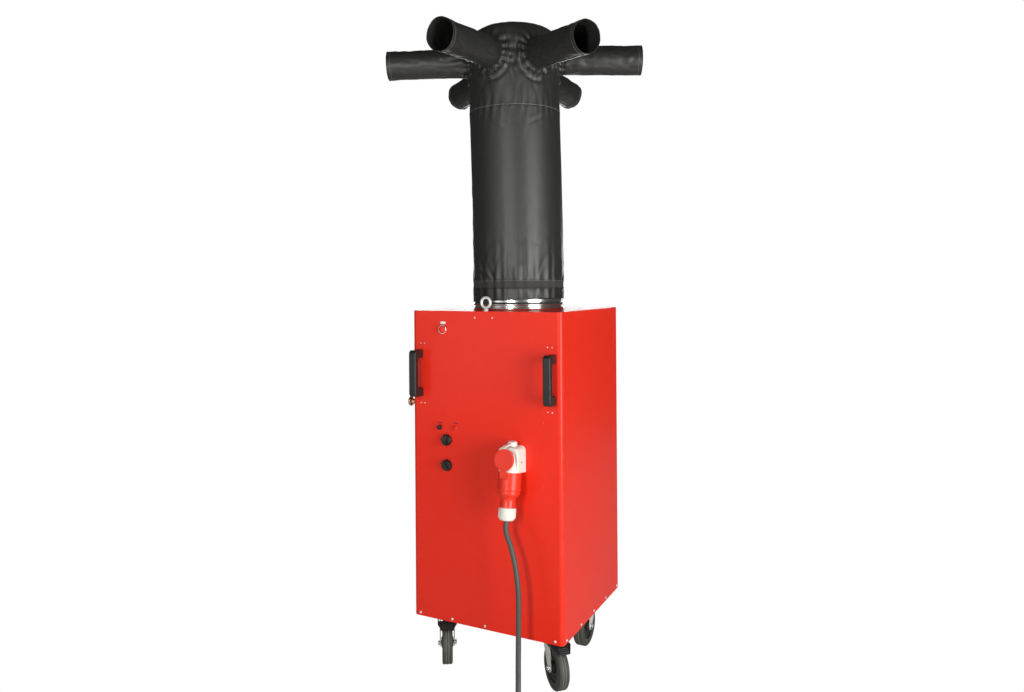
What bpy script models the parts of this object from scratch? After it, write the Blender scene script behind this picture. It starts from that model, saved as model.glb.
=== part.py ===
"""Mobile hot-air dryer: a wheeled fan-heater cabinet that blows up into a six-armed fabric sleeve.

Metres, +Z up.  The origin is on the floor under the sleeve's axis, the front faces -Y.
"""
import math

import bmesh
import bpy
from mathutils import Euler, Matrix, Vector

# ---------------------------------------------------------------- driving dimensions
GAP = 0.0003                     # clearance that touching pieces keep
BODY_W, BODY_D, BODY_H = 0.596, 0.572, 1.120
SKIRT_Z = 0.178                  # lower edge of the cabinet above the floor
TOP_Z = SKIRT_Z + BODY_H
SHEET = 0.003
CORNER_R = 0.016
FRONT_Y = -BODY_D / 2
LEFT_X = -BODY_W / 2

WHEEL_R, WHEEL_W = 0.075, 0.038
CASTOR_TRAIL = 0.045
TRAY_Z = 0.190                   # underside of the base tray, on the castor plates
CASTORS = {                      # swivel x, y and the heading of the trailing wheel in degrees
    "fl": (-0.213, -0.195, -58.0),
    "fr": (0.213, -0.195, -43.6),
    "rl": (-0.213, 0.165, -118.0),
    "rr": (0.213, 0.165, -90.0),
}

DUCT_R = 0.153
DUCT_Z = 0.860
SPIGOT_R = 0.168
SPIGOT_TOP = TOP_Z + 0.110

CLOTH = 0.0025
TUBE_R = 0.173
TUBE_FOOT = TOP_Z + 0.031
SEAM_Z = TOP_Z + 0.749
CROWN_TOP = 2.376
ARM_R = 0.056
ARM_ROOT_Z = 2.252
ARM_REACH = 0.486
CROWN_R = 0.172
ARMS = (                         # azimuth and droop of each arm in degrees
    (-94.0, 3.5), (-34.0, 5.0), (26.0, 0.5), (86.0, 4.0), (146.0, 4.0), (206.0, 2.0))

KNOB_X = -0.153
KNOB_DROPS = (0.465, 0.556)      # below the cabinet's top
BUTTON_X, BUTTON_DROP = -0.166, 0.067
FUSE_X, FUSE_DROP = -0.181, 0.421
LAMP_X, LAMP_DROP = -0.117, 0.419
HANDLE_X, HANDLE_DROP, HANDLE_LEN, HANDLE_OUT = 0.265, 0.227, 0.170, 0.055

DOOR_Y = (-0.268, 0.232)
DOOR_Z = (0.465, 1.135)
DOOR_HOLE_Y = (-0.258, 0.215)
DOOR_HOLE_Z = (0.480, 1.120)
DOOR_HINGE_Y = 0.2395
LATCH_Y, LATCH_Z = -0.243, TOP_Z - 0.342

GRILLE_HALF_X = 0.200
GRILLE_Z = (0.480, 0.880)

INLET_X, INLET_HALF_W = 0.126, 0.040
INLET_Z = (TOP_Z - 0.547, TOP_Z - 0.458)
PLUG_TILT = math.radians(10.0)   # the connector leans out of the vertical by this much
PLUG_MOUTH = Vector((INLET_X, FRONT_Y - 0.049, 0.757))
PLUG_AXIS = Vector((0, -math.sin(PLUG_TILT), -math.cos(PLUG_TILT)))
PLUG_OUT = Vector((0, -math.cos(PLUG_TILT), math.sin(PLUG_TILT)))
CONNECTOR_LEN, NUT_LEN = 0.116, 0.042

CABLE_R = 0.009
COIL_X, COIL_Y = 0.120, -0.665
COIL_IN, COIL_OUT, COIL_H = 0.066, 0.121, 0.055


# ---------------------------------------------------------------- finishes
FINISHES = {
    "red_paint": ((0.79, 0.040, 0.020), 0.35, 0.0),
    "galvanised": ((0.66, 0.67, 0.64), 0.35, 0.9),
    "steel": ((0.70, 0.70, 0.68), 0.25, 1.0),
    "chrome": ((0.85, 0.84, 0.82), 0.10, 1.0),
    "brass": ((0.72, 0.52, 0.28), 0.28, 1.0),
    "coated_fabric": ((0.022, 0.022, 0.020), 0.45, 0.0),
    "webbing": ((0.030, 0.029, 0.028), 0.80, 0.0),
    "black_plastic": ((0.018, 0.018, 0.018), 0.45, 0.0),
    "white_plastic": ((0.82, 0.82, 0.76), 0.40, 0.0),
    "red_plastic": ((0.78, 0.055, 0.022), 0.35, 0.0),
    "rubber": ((0.040, 0.045, 0.038), 0.70, 0.0),
    "cable_rubber": ((0.100, 0.105, 0.095), 0.55, 0.0),
    "filter_wool": ((0.55, 0.56, 0.54), 0.95, 0.0),
    "red_lens": ((0.60, 0.020, 0.015), 0.15, 0.0),
}


def finish(name):
    """The named material, made on first use."""
    mat = bpy.data.materials.get(name)
    if mat:
        return mat
    color, rough, metal = FINISHES[name]
    mat = bpy.data.materials.new(name)
    mat.use_nodes = True
    bsdf = mat.node_tree.nodes["Principled BSDF"]
    bsdf.inputs["Base Color"].default_value = (*color, 1)
    bsdf.inputs["Roughness"].default_value = rough
    bsdf.inputs["Metallic"].default_value = metal
    return mat


# ---------------------------------------------------------------- modelling helpers
def add(name, bm, mat, location=(0, 0, 0), rotation=(0, 0, 0)):
    """Turn a bmesh into a named object with one material; closed shapes get outward faces."""
    bmesh.ops.recalc_face_normals(bm, faces=bm.faces)
    mesh = bpy.data.meshes.new(name)
    bm.to_mesh(mesh)
    bm.free()
    obj = bpy.data.objects.new(name, mesh)
    bpy.context.collection.objects.link(obj)
    obj.location = location
    obj.rotation_euler = rotation
    mesh.materials.append(finish(mat))
    mesh.shade_smooth()
    mesh.set_sharp_from_angle(angle=math.radians(35))
    return obj


def boxes(*corners):
    """A bmesh of one or more boxes, each given as (low corner, high corner)."""
    bm = bmesh.new()
    for low, high in corners:
        low, high = Vector(low), Vector(high)
        move = Matrix.Translation((low + high) / 2) @ Matrix.Diagonal((*(high - low), 1))
        bmesh.ops.create_cube(bm, size=1, matrix=move)
    return bm


def lathe(profile, steps=32, closed=False):
    """Turn a profile of (radius, height) points round Z; an open one starts and ends on the axis."""
    bm = bmesh.new()
    verts = [bm.verts.new((r, 0, z)) for r, z in profile]
    pairs = list(zip(verts, verts[1:]))
    if closed:
        pairs.append((verts[-1], verts[0]))
    edges = [bm.edges.new(p) for p in pairs]
    bmesh.ops.spin(bm, geom=verts + edges, axis=(0, 0, 1), cent=(0, 0, 0),
                   angle=2 * math.pi, steps=steps, use_merge=True)
    bmesh.ops.remove_doubles(bm, verts=bm.verts, dist=1e-6)
    return bm


def rod(radius, z0, z1, steps=24):
    """A plain solid cylinder on Z."""
    return lathe([(0, z0), (radius, z0), (radius, z1), (0, z1)], steps)


def ring(r_in, r_out, z0, z1, steps=32):
    """A plain tube on Z with a square section."""
    return lathe([(r_in, z0), (r_out, z0), (r_out, z1), (r_in, z1)], steps, closed=True)


def prism(outline, depth):
    """A flat outline in XY raised by depth along Z."""
    bm = bmesh.new()
    face = bm.faces.new([bm.verts.new((x, y, 0)) for x, y in outline])
    raised = bmesh.ops.extrude_face_region(bm, geom=[face])
    verts = [v for v in raised["geom"] if isinstance(v, bmesh.types.BMVert)]
    bmesh.ops.translate(bm, verts=verts, vec=(0, 0, depth))
    return bm


def arc(cx, cy, radius, start, end, steps):
    """Points on an arc, angles in degrees."""
    angles = [math.radians(start + (end - start) * i / steps) for i in range(steps + 1)]
    return [(cx + radius * math.cos(a), cy + radius * math.sin(a)) for a in angles]


def rounded_rect(width, depth, radius, steps=4):
    """Outline of a rectangle with rounded corners, centred on the origin."""
    x, y = width / 2 - radius, depth / 2 - radius
    corners = ((x, y, 0), (-x, y, 90), (-x, -y, 180), (x, -y, 270))
    return [p for cx, cy, a in corners for p in arc(cx, cy, radius, a, a + 90, steps)]


def moved(bm, offset=(0, 0, 0), turn=(0, 0, 0)):
    """Turn a bmesh by Euler angles, then shift it."""
    matrix = Matrix.Translation(offset) @ Euler(turn).to_matrix().to_4x4()
    bmesh.ops.transform(bm, matrix=matrix, verts=bm.verts)
    return bm


def along(bm, start, direction):
    """Lay a bmesh built on Z along a direction from a start point."""
    turn = Vector(direction).to_track_quat("Z", "Y").to_matrix().to_4x4()
    bmesh.ops.transform(bm, matrix=Matrix.Translation(start) @ turn, verts=bm.verts)
    return bm


def combine(target, tool_bm, operation):
    """Join or cut a hidden helper solid into the target with an exact Boolean."""
    tool = add(f"tool_{len(bpy.data.objects)}", tool_bm, "steel", target.location,
               target.rotation_euler)
    tool.hide_render = True
    tool.display_type = "WIRE"
    mod = target.modifiers.new(operation.lower(), "BOOLEAN")
    mod.operation = operation
    mod.solver = "EXACT"
    mod.object = tool
    return target


def join(target, *tools):
    """Union several helper solids into the target."""
    for bm in tools:
        combine(target, bm, "UNION")
    return target


def cut(target, *tools):
    """Cut several helper solids out of the target."""
    for bm in tools:
        combine(target, bm, "DIFFERENCE")
    return target


def facing_front(bm, x, z, y=FRONT_Y):
    """Turn a bmesh built on Z so that Z points out of the front panel, at a place on it."""
    return moved(bm, (x, y, z), (math.pi / 2, 0, 0))


# ---------------------------------------------------------------- cabinet
def cabinet():
    """Base tray, four-sided wrap, top panel, rear grille and filter."""
    inner_w, inner_d = BODY_W - 2 * SHEET, BODY_D - 2 * SHEET
    tray_w, tray_d = inner_w - 2 * GAP, inner_d - 2 * GAP
    tray_r = CORNER_R - SHEET

    tray = prism(rounded_rect(tray_w, tray_d, tray_r), 0.035)
    tray = add("base_tray", moved(tray, (0, 0, TRAY_Z)), "galvanised")
    hollow = prism(rounded_rect(tray_w - 2 * SHEET, tray_d - 2 * SHEET, tray_r - SHEET), 0.05)
    cut(tray, moved(hollow, (0, 0, TRAY_Z + SHEET)))

    wrap = prism(rounded_rect(BODY_W, BODY_D, CORNER_R), BODY_H)
    wrap = add("cabinet_wrap", moved(wrap, (0, 0, SKIRT_Z)), "red_paint")
    bore = prism(rounded_rect(inner_w, inner_d, tray_r), BODY_H + 0.1)
    cut(wrap, moved(bore, (0, 0, SKIRT_Z - 0.05)))
    cut(wrap, boxes(((LEFT_X - 0.05, DOOR_HOLE_Y[0], DOOR_HOLE_Z[0]),
                     (LEFT_X + 0.05, DOOR_HOLE_Y[1], DOOR_HOLE_Z[1]))))
    cut(wrap, boxes(((-GRILLE_HALF_X + 0.015, BODY_D / 2 - 0.05, GRILLE_Z[0] + 0.015),
                     (GRILLE_HALF_X - 0.015, BODY_D / 2 + 0.05, GRILLE_Z[1] - 0.015))))
    front_holes = [(BUTTON_X, BUTTON_DROP, 0.0130), (FUSE_X, FUSE_DROP, 0.0052),
                   (LAMP_X, LAMP_DROP, 0.0052)]
    front_holes += [(KNOB_X, drop, 0.0040) for drop in KNOB_DROPS]
    for x, drop, radius in front_holes:
        cut(wrap, facing_front(rod(radius, -0.03, 0.03, 16), x, TOP_Z - drop))

    lid_w, lid_d = inner_w - 2 * GAP, inner_d - 2 * GAP
    lid = prism(rounded_rect(lid_w, lid_d, tray_r), 0.045)
    lid = add("top_panel", moved(lid, (0, 0, TOP_Z - 0.045)), "red_paint")
    under = prism(rounded_rect(lid_w - 2 * SHEET, lid_d - 2 * SHEET, tray_r - SHEET), 0.062)
    cut(lid, moved(under, (0, 0, TOP_Z - SHEET - 0.062)))
    cut(lid, moved(rod(0.160, -0.1, 0.1, 48), (0, 0, TOP_Z)))

    back = BODY_D / 2 + GAP
    grille = boxes(((-GRILLE_HALF_X, back, GRILLE_Z[0]), (GRILLE_HALF_X, back + 0.002, GRILLE_Z[1])))
    grille = add("intake_grille", grille, "galvanised")
    slots = [((-0.17, back - 0.02, GRILLE_Z[0] + 0.030 + 0.036 * i),
              (0.17, back + 0.02, GRILLE_Z[0] + 0.046 + 0.036 * i)) for i in range(10)]
    cut(grille, boxes(*slots))

    pad = boxes(((-0.190, 0.245, 0.475), (0.190, 0.275, 0.885)))
    add("filter_pad", pad, "filter_wool")


def service_door():
    """Hinged door over the left side's opening, its two hinges and the quarter-turn latch."""
    x_in = LEFT_X - GAP
    pivot = (x_in - 0.0060, DOOR_HINGE_Y, 0)
    panel = boxes(((x_in - SHEET, DOOR_Y[0], DOOR_Z[0]), (x_in, DOOR_Y[1], DOOR_Z[1])))
    door = add("service_door", moved(panel, [-c for c in pivot]), "red_paint", pivot)
    shaft_hole = moved(rod(0.0063, -0.02, 0.02, 16), (x_in, LATCH_Y, LATCH_Z), (0, math.pi / 2, 0))
    cut(door, moved(shaft_hole, [-c for c in pivot]))

    for label, z in (("upper", 1.040), ("lower", 0.560)):
        leaf = boxes(((x_in - 0.0020, DOOR_HINGE_Y - 0.002, z - 0.035),
                      (x_in, DOOR_HINGE_Y + 0.026, z + 0.035)))
        hinge = add(f"door_hinge_{label}", leaf, "galvanised")
        join(hinge, moved(rod(0.0050, z - 0.035, z + 0.035, 12), pivot))

    # The knob's origin is on its own axis, which points out of the left side.
    knob = lathe([(0, 0.0003 + SHEET), (0.013, 0.0003 + SHEET), (0.013, 0.012), (0.0095, 0.018),
                  (0.0095, 0.026), (0.016, 0.030), (0.018, 0.036), (0.014, 0.042), (0, 0.043)], 16)
    knob = add("door_latch", knob, "brass", (x_in, LATCH_Y, LATCH_Z), (0, -math.pi / 2, 0))
    join(knob, rod(0.0058, -0.014, 0.020, 12))
    join(knob, boxes(((-0.0235, -0.006, -0.0120), (0.008, 0.006, -0.0085))))


def fittings():
    """Lifting eyes, bridge handles and the controls on the front panel."""
    for label, y in (("front", FRONT_Y + 0.020), ("rear", -FRONT_Y - 0.020)):
        loop = lathe(arc(0.0178, 0, 0.0052, 0, 300, 5), 16, closed=True)
        loop = moved(loop, (0, y, TOP_Z + 0.030), (math.pi / 2, 0, 0))
        eye = add(f"lifting_eye_{label}", loop, "galvanised")
        join(eye, moved(rod(0.0095, GAP, 0.0105, 12), (0, y, TOP_Z)))

    half, out = HANDLE_LEN / 2, HANDLE_OUT
    outer = [(0.0005, half), (out * 0.55, half)] + arc(out - 0.014, half - 0.014, 0.014, 70, 0, 3)
    lower = [(x, -z) for x, z in reversed(outer)]
    inner_x, inner_z = out - 0.020, half - 0.030
    inside = [(0.0005, -inner_z), (inner_x - 0.008, -inner_z), (inner_x, -inner_z + 0.008),
              (inner_x, inner_z - 0.008), (inner_x - 0.008, inner_z), (0.0005, inner_z)]
    for label, x in (("left", -HANDLE_X), ("right", HANDLE_X)):
        bar = moved(prism(outer + lower + inside, 0.028), (0, 0, -0.014))
        # The outline's X points out of the panel and its Y points up.
        turn = Matrix(((0, 0, 1), (-1, 0, 0), (0, 1, 0))).to_4x4()
        bmesh.ops.transform(bar, matrix=turn, verts=bar.verts)
        add(f"handle_{label}", moved(bar, (x, FRONT_Y, TOP_Z - HANDLE_DROP)), "black_plastic")

    place = (BUTTON_X, FRONT_Y, TOP_Z - BUTTON_DROP)
    out_turn = (math.pi / 2, 0, 0)
    add("button_bezel", ring(0.0128, 0.0168, GAP, 0.007, 16), "chrome", place, out_turn)
    button = [(0, -0.003), (0.0120, -0.003), (0.0120, 0.011), (0.0105, 0.0128), (0, 0.0135)]
    add("start_button", lathe(button, 16), "red_plastic", place, out_turn)

    fuse = [(0, -0.010), (0.0045, -0.010), (0.0045, GAP), (0.0085, GAP), (0.0085, 0.009),
            (0.0070, 0.011), (0, 0.011)]
    add("fuse_cap", lathe(fuse, 12), "black_plastic", (FUSE_X, FRONT_Y, TOP_Z - FUSE_DROP), out_turn)
    lens = [(0, -0.010), (0.0045, -0.010), (0.0045, GAP), (0.0080, GAP), (0.0080, 0.003),
            (0.0060, 0.0065), (0, 0.008)]
    add("pilot_lamp", lathe(lens, 12), "red_lens", (LAMP_X, FRONT_Y, TOP_Z - LAMP_DROP), out_turn)

    for label, drop in zip(("thermostat_knob", "timer_knob"), KNOB_DROPS):
        skirt = [(0, -0.016), (0.0032, -0.016), (0.0032, 0.0012), (0.0210, 0.0012),
                 (0.0210, 0.0060), (0.0170, 0.0130), (0, 0.0130)]
        knob = add(label, lathe(skirt, 20), "black_plastic", (KNOB_X, FRONT_Y, TOP_Z - drop), out_turn)
        join(knob, boxes(((-0.0042, -0.0175, 0.0100), (0.0042, 0.0175, 0.0210))))

    back = FRONT_Y + SHEET + GAP
    case = add("control_box", boxes(((-0.215, back, 0.700), (-0.085, back + 0.070, 0.905))),
               "galvanised")
    cut(case, boxes(((-0.213, back - 0.01, 0.702), (-0.087, back + 0.068, 0.903))))


# ---------------------------------------------------------------- air path
def air_path():
    """Fan, motor, heater, duct and the spigot that holds the sleeve."""
    add("air_duct", ring(DUCT_R - SHEET, DUCT_R, DUCT_Z, TOP_Z - 0.004, 24), "galvanised")

    bracket = add("motor_bracket", ring(0.0075, 0.060, 0.8450, 0.8590, 24), "galvanised")
    for i in range(3):
        bar = boxes(((0.050, -0.012, 0.8470), (0.1500, 0.012, 0.8570)))
        join(bracket, moved(bar, turn=(0, 0, 2 * math.pi * i / 3 + 0.5)))

    motor = [(0, 0.700), (0.050, 0.700), (0.062, 0.712), (0.062, 0.832), (0.055, 0.8447),
             (0.0055, 0.8447), (0.0055, 0.912), (0, 0.912)]
    add("fan_motor", lathe(motor, 16), "steel")

    hub = add("fan_impeller", ring(0.0058, 0.042, 0.875, 0.908, 24), "galvanised")
    for i in range(6):
        blade = boxes(((0.036, -0.0015, -0.017), (0.143, 0.0015, 0.017)))
        blade = moved(blade, (0, 0, 0.8915), (math.radians(52), 0, 0))
        join(hub, moved(blade, turn=(0, 0, math.pi * i / 3)))

    heater = add("heater_element", lathe(arc(0.115, 1.020, 0.006, 0, 270, 3), 16, closed=True), "steel")
    for radius, z in ((0.085, 1.050), (0.115, 1.080)):
        join(heater, lathe(arc(radius, z, 0.006, 0, 270, 3), 16, closed=True))
    for i in range(3):
        stay = boxes(((0.074, -0.003, 1.012), (0.126, 0.003, 1.088)))
        join(heater, moved(stay, turn=(0, 0, 2 * math.pi * i / 3)))

    base, wall = TOP_Z + GAP, SPIGOT_R - 0.003
    collar = [(wall, base), (0.1755, base), (0.1755, base + 0.010), (0.1700, base + 0.013),
              (0.1752, base + 0.0180), (0.1752, base + 0.0235), (SPIGOT_R, base + 0.0270),
              (SPIGOT_R, SPIGOT_TOP), (wall, SPIGOT_TOP)]
    add("spigot_collar", lathe(collar, 32, closed=True), "steel")


# ---------------------------------------------------------------- sleeve
def arm_direction(azimuth, droop):
    """Unit vector of an arm that points away from the sleeve's axis and droops a little."""
    a, down = math.radians(azimuth), math.radians(droop)
    return Vector((math.cos(a) * math.cos(down), math.sin(a) * math.cos(down), -math.sin(down)))


def sleeve():
    """Tube, crown and six open arms, and the strap that holds the tube on the spigot."""
    add("tube_sleeve", ring(TUBE_R - CLOTH, TUBE_R, TUBE_FOOT, SEAM_Z, 32), "coated_fabric")
    add("sleeve_strap", ring(TUBE_R + GAP, TUBE_R + 0.0025, TOP_Z + 0.080, TOP_Z + 0.107, 32), "webbing")

    foot = SEAM_Z + GAP
    dome = [(CROWN_R, foot), (CROWN_R, 2.300), (0.166, 2.335), (0.145, 2.357), (0.100, 2.371)]
    # The seams of the crown and the arms are turned apart, so that no edges fall together.
    crown = lathe([(0, foot)] + dome + [(0, CROWN_TOP)], 32)
    crown = add("crown_sleeve", moved(crown, turn=(0, 0, 0.031)), "coated_fabric")
    root = Vector((0, 0, ARM_ROOT_Z))
    lining = [(r - CLOTH, z - (CLOTH if z > 2.34 else 0)) for r, z in dome]
    lining[0] = (lining[0][0], foot - 0.02)
    lining = lathe([(0, foot - 0.02)] + lining + [(0, CROWN_TOP - CLOTH)], 32)
    cut(crown, moved(lining, turn=(0, 0, 0.031)))
    for azimuth, droop in ARMS:
        hole = moved(rod(ARM_R - CLOTH, 0.125, 0.225, 16), turn=(0, 0, 0.11))
        cut(crown, along(hole, root, arm_direction(azimuth, droop)))

    for number, (azimuth, droop) in enumerate(ARMS, 1):
        arm = moved(ring(ARM_R - CLOTH, ARM_R, 0.150, ARM_REACH, 16), turn=(0, 0, 0.11))
        arm = add(f"arm_sleeve_{number}", along(arm, root, arm_direction(azimuth, droop)),
                  "coated_fabric")
        # The root is cut to the crown's round wall, so that the arm meets it all the way round.
        wall = rod(CROWN_R + GAP, foot - 0.02, CROWN_TOP, 32)
        cut(arm, moved(wall, turn=(0, 0, 0.031)))


# ---------------------------------------------------------------- power lead
def smooth_route(points, step):
    """Evenly spaced points on a smooth curve through the given points."""
    curve = []
    ends = [points[0] * 2 - points[1]] + points + [points[-1] * 2 - points[-2]]
    for p0, p1, p2, p3 in zip(ends, ends[1:], ends[2:], ends[3:]):
        for i in range(24):
            t = i / 24
            curve.append(0.5 * (2 * p1 + (p2 - p0) * t + (2 * p0 - 5 * p1 + 4 * p2 - p3) * t * t
                                + (3 * p1 - p0 - 3 * p2 + p3) * t ** 3))
    curve.append(points[-1].copy())
    total = sum((b - a).length for a, b in zip(curve, curve[1:]))
    count = max(2, round(total / step))
    even, walked, target = [curve[0]], 0.0, total / count
    for a, b in zip(curve, curve[1:]):
        seg = (b - a).length
        while seg and walked + seg >= target - 1e-9 and len(even) < count:
            even.append(a.lerp(b, (target - walked) / seg))
            target += total / count
        walked += seg
    return even + [curve[-1]]


def power_lead():
    """Angled inlet, hanging connector with its lid and nut, cable, stored coil and plug."""
    low, high = INLET_Z
    flange = boxes(((INLET_X - INLET_HALF_W, FRONT_Y - 0.016, low),
                    (INLET_X + INLET_HALF_W, FRONT_Y - GAP, high)))
    inlet = add("power_inlet", flange, "white_plastic")
    shell = rod(0.0365, 0.0, 0.066, 24)
    join(inlet, along(shell, PLUG_MOUTH, -PLUG_AXIS))
    join(inlet, boxes(((INLET_X - 0.016, FRONT_Y - 0.060, high - 0.010),
                       (INLET_X + 0.016, FRONT_Y - 0.010, high + 0.014))))

    length = CONNECTOR_LEN
    body = [(0, GAP), (0.0400, GAP), (0.0400, 0.052), (0.0412, 0.054), (0.0412, 0.058),
            (0.0380, 0.061), (0.0380, 0.066), (0.0385, 0.068), (0.0370, 0.074),
            (0.0265, 0.084), (0.0255, 0.092), (0.0285, length), (0, length)]
    add("connector_body", along(lathe(body, 16), PLUG_MOUTH, PLUG_AXIS), "red_plastic")
    nut_start, nut_end = length + GAP, length + NUT_LEN
    nut = [(0, nut_start), (0.0295, nut_start), (0.0300, nut_start + 0.006), (0.0285, nut_end - 0.006),
           (0.0240, nut_end), (0, nut_end)]
    add("connector_nut", along(lathe(nut, 16), PLUG_MOUTH, PLUG_AXIS), "white_plastic")

    pivot = PLUG_MOUTH + PLUG_AXIS * 0.016 + PLUG_OUT * 0.0475
    turn = Matrix((Vector((1, 0, 0)), -PLUG_AXIS, PLUG_OUT)).transposed().to_euler()
    disc = moved(rod(0.0355, 0.0, 0.008, 24), (0, 0.050, 0))
    lid = add("connector_lid", disc, "red_plastic", pivot, turn)
    join(lid, boxes(((-0.012, 0.006, 0.001), (0.012, 0.026, 0.007))))
    join(lid, moved(rod(0.0055, -0.013, 0.013, 12), (0, 0, 0), (0, math.pi / 2, 0)))
    join(lid, boxes(((-0.012, -0.002, -0.003), (0.012, 0.010, 0.005))))

    exit_point = PLUG_MOUTH + PLUG_AXIS * (nut_end + GAP)
    ground = CABLE_R + GAP
    route = [exit_point, exit_point + PLUG_AXIS * 0.035,
             Vector((0.1480, -0.375, 0.518)), Vector((0.1660, -0.380, 0.460)),
             Vector((0.1766, -0.384, 0.399)), Vector((0.1800, -0.3855, 0.343)),
             Vector((0.1804, -0.389, 0.230)), Vector((0.1830, -0.397, 0.150)),
             Vector((0.1900, -0.4125, 0.072)), Vector((0.1990, -0.437, 0.0265)),
             Vector((0.2130, -0.482, ground)), Vector((0.2360, -0.545, ground)),
             Vector((0.2480, COIL_Y + 0.060, ground)), Vector((COIL_X + 0.131, COIL_Y, ground))]
    curve = bpy.data.curves.new("supply_cable", "CURVE")
    curve.dimensions = "3D"
    curve.bevel_depth = CABLE_R
    curve.bevel_resolution = 2
    curve.use_fill_caps = True
    points = smooth_route(route, 4.0 * CABLE_R)
    spline = curve.splines.new("POLY")
    spline.points.add(len(points) - 1)
    for point, place in zip(spline.points, points):
        point.co = (*place, 1)
    curve.materials.append(finish("cable_rubber"))
    cable = bpy.data.objects.new("supply_cable", curve)
    bpy.context.collection.objects.link(cable)

    r_mid, z_mid = (COIL_IN + COIL_OUT) / 2, COIL_H / 2
    section = rounded_rect(COIL_OUT - COIL_IN, COIL_H, 0.009, 1)
    coil = lathe([(r_mid + x, z_mid + z) for x, z in section], 24, closed=True)
    add("cable_coil", coil, "cable_rubber", (COIL_X, COIL_Y, 0))

    plug = [(0, 0.0), (0.0150, 0.0), (0.0230, 0.008), (0.0240, 0.040), (0.0270, 0.050),
            (0.0310, 0.070), (0.0310, 0.095), (0.0280, 0.098), (0.0280, 0.130), (0, 0.130)]
    lying = Vector((COIL_X - 0.029, COIL_Y + 0.080, COIL_H + 0.031 + GAP))
    add("supply_plug", along(lathe(plug, 14), lying, (1, 0, 0)), "red_plastic")


# ---------------------------------------------------------------- castors
def castor(label, x, y, heading):
    """One swivel castor; the front pair carries a wheel brake pedal."""
    turn = (0, 0, math.radians(heading))
    flat = TRAY_Z - GAP
    plate = boxes(((-0.050, -0.0425, flat - 0.004), (0.050, 0.0425, flat)))
    plate = add(f"castor_plate_{label}", plate, "galvanised", (x, y, 0))
    join(plate, rod(0.030, flat - 0.0175, flat - 0.002, 20))

    crown_top, crown_low = flat - 0.0175 - GAP, 0.1600
    leg = [(-0.028, crown_top), (-0.028, crown_low + 0.002), (-0.012, crown_low - 0.012)]
    leg += arc(CASTOR_TRAIL, WHEEL_R, 0.014, 190, 370, 6)
    leg += [(0.040, crown_low - 0.010), (0.040, crown_top)]
    fork = boxes(((-0.028, -0.0270, crown_low), (0.040, 0.0270, crown_top)))
    fork = add(f"castor_fork_{label}", fork, "galvanised", (x, y, 0), turn)
    for side in (0.0240, -0.0280):
        # The outline's X trails, its Y is up; the leg's thickness runs across the wheel.
        cheek = moved(prism(leg, 0.004), (0, side + 0.004, 0), (math.pi / 2, 0, 0))
        join(fork, cheek)
    bore = moved(rod(0.0063, -0.04, 0.04, 16), (CASTOR_TRAIL, 0, WHEEL_R), (math.pi / 2, 0, 0))
    cut(fork, bore)

    heading_rad = math.radians(heading)
    hub = (x + CASTOR_TRAIL * math.cos(heading_rad), y + CASTOR_TRAIL * math.sin(heading_rad), WHEEL_R)
    hub_turn = (math.pi / 2, 0, heading_rad)
    half, r = WHEEL_W / 2, WHEEL_R
    tread = [(0.0066, -0.0225), (0.020, -0.0225), (0.022, -0.013), (0.048, -0.013),
             (0.052, -half), (r - 0.006, -half), (r, -half + 0.010)]
    tread += [(radius, -z) for radius, z in reversed(tread)]
    add(f"castor_wheel_{label}", lathe(tread, 24, closed=True), "rubber", hub, hub_turn)
    axle = [(0, -0.0345), (0.0095, -0.0345), (0.0095, -0.0283), (0.0060, -0.0283),
            (0.0060, 0.0283), (0.0095, 0.0283), (0.0095, 0.0345), (0, 0.0345)]
    add(f"castor_axle_{label}", lathe(axle, 12), "steel", hub, hub_turn)

    if label in ("fl", "fr"):
        tread_plate = [(0.076, 0.155), (0.100, 0.1475), (0.128, 0.136), (0.131, 0.142),
                       (0.104, 0.160), (0.080, 0.1667), (0.076, 0.1667)]
        pivot_z = 0.161
        pedal = prism([(px, pz - pivot_z) for px, pz in tread_plate], 0.070)
        pedal = moved(pedal, (0, 0.035, 0), (math.pi / 2, 0, 0))
        pedal = add(f"brake_pedal_{label}", pedal, "black_plastic", (x, y, pivot_z), turn)
        for low_y, high_y in ((0.0310, 0.0350), (-0.0350, -0.0310)):
            join(pedal, boxes(((-0.008, low_y, -0.005), (0.0785, high_y, 0.005))))


def build():
    """Clear the scene and make every piece of the dryer."""
    for obj in list(bpy.data.objects):
        bpy.data.objects.remove(obj, do_unlink=True)
    cabinet()
    service_door()
    fittings()
    air_path()
    sleeve()
    power_lead()
    for label, (x, y, heading) in CASTORS.items():
        castor(label, x, y, heading)


build()
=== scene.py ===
"""Looks of a mobile hot-air dryer with a six-armed fabric sleeve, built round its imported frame.

Metres, +Z up, the front faces -Y.  Every piece sits at the origin with its place in its mesh.
"""
from __future__ import annotations

import logging
import math
from dataclasses import dataclass, field
from enum import Enum
from typing import Iterable, Sequence

import bmesh
import bpy
from mathutils import Euler, Matrix, Vector, noise
from mathutils.bvhtree import BVHTree


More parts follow.
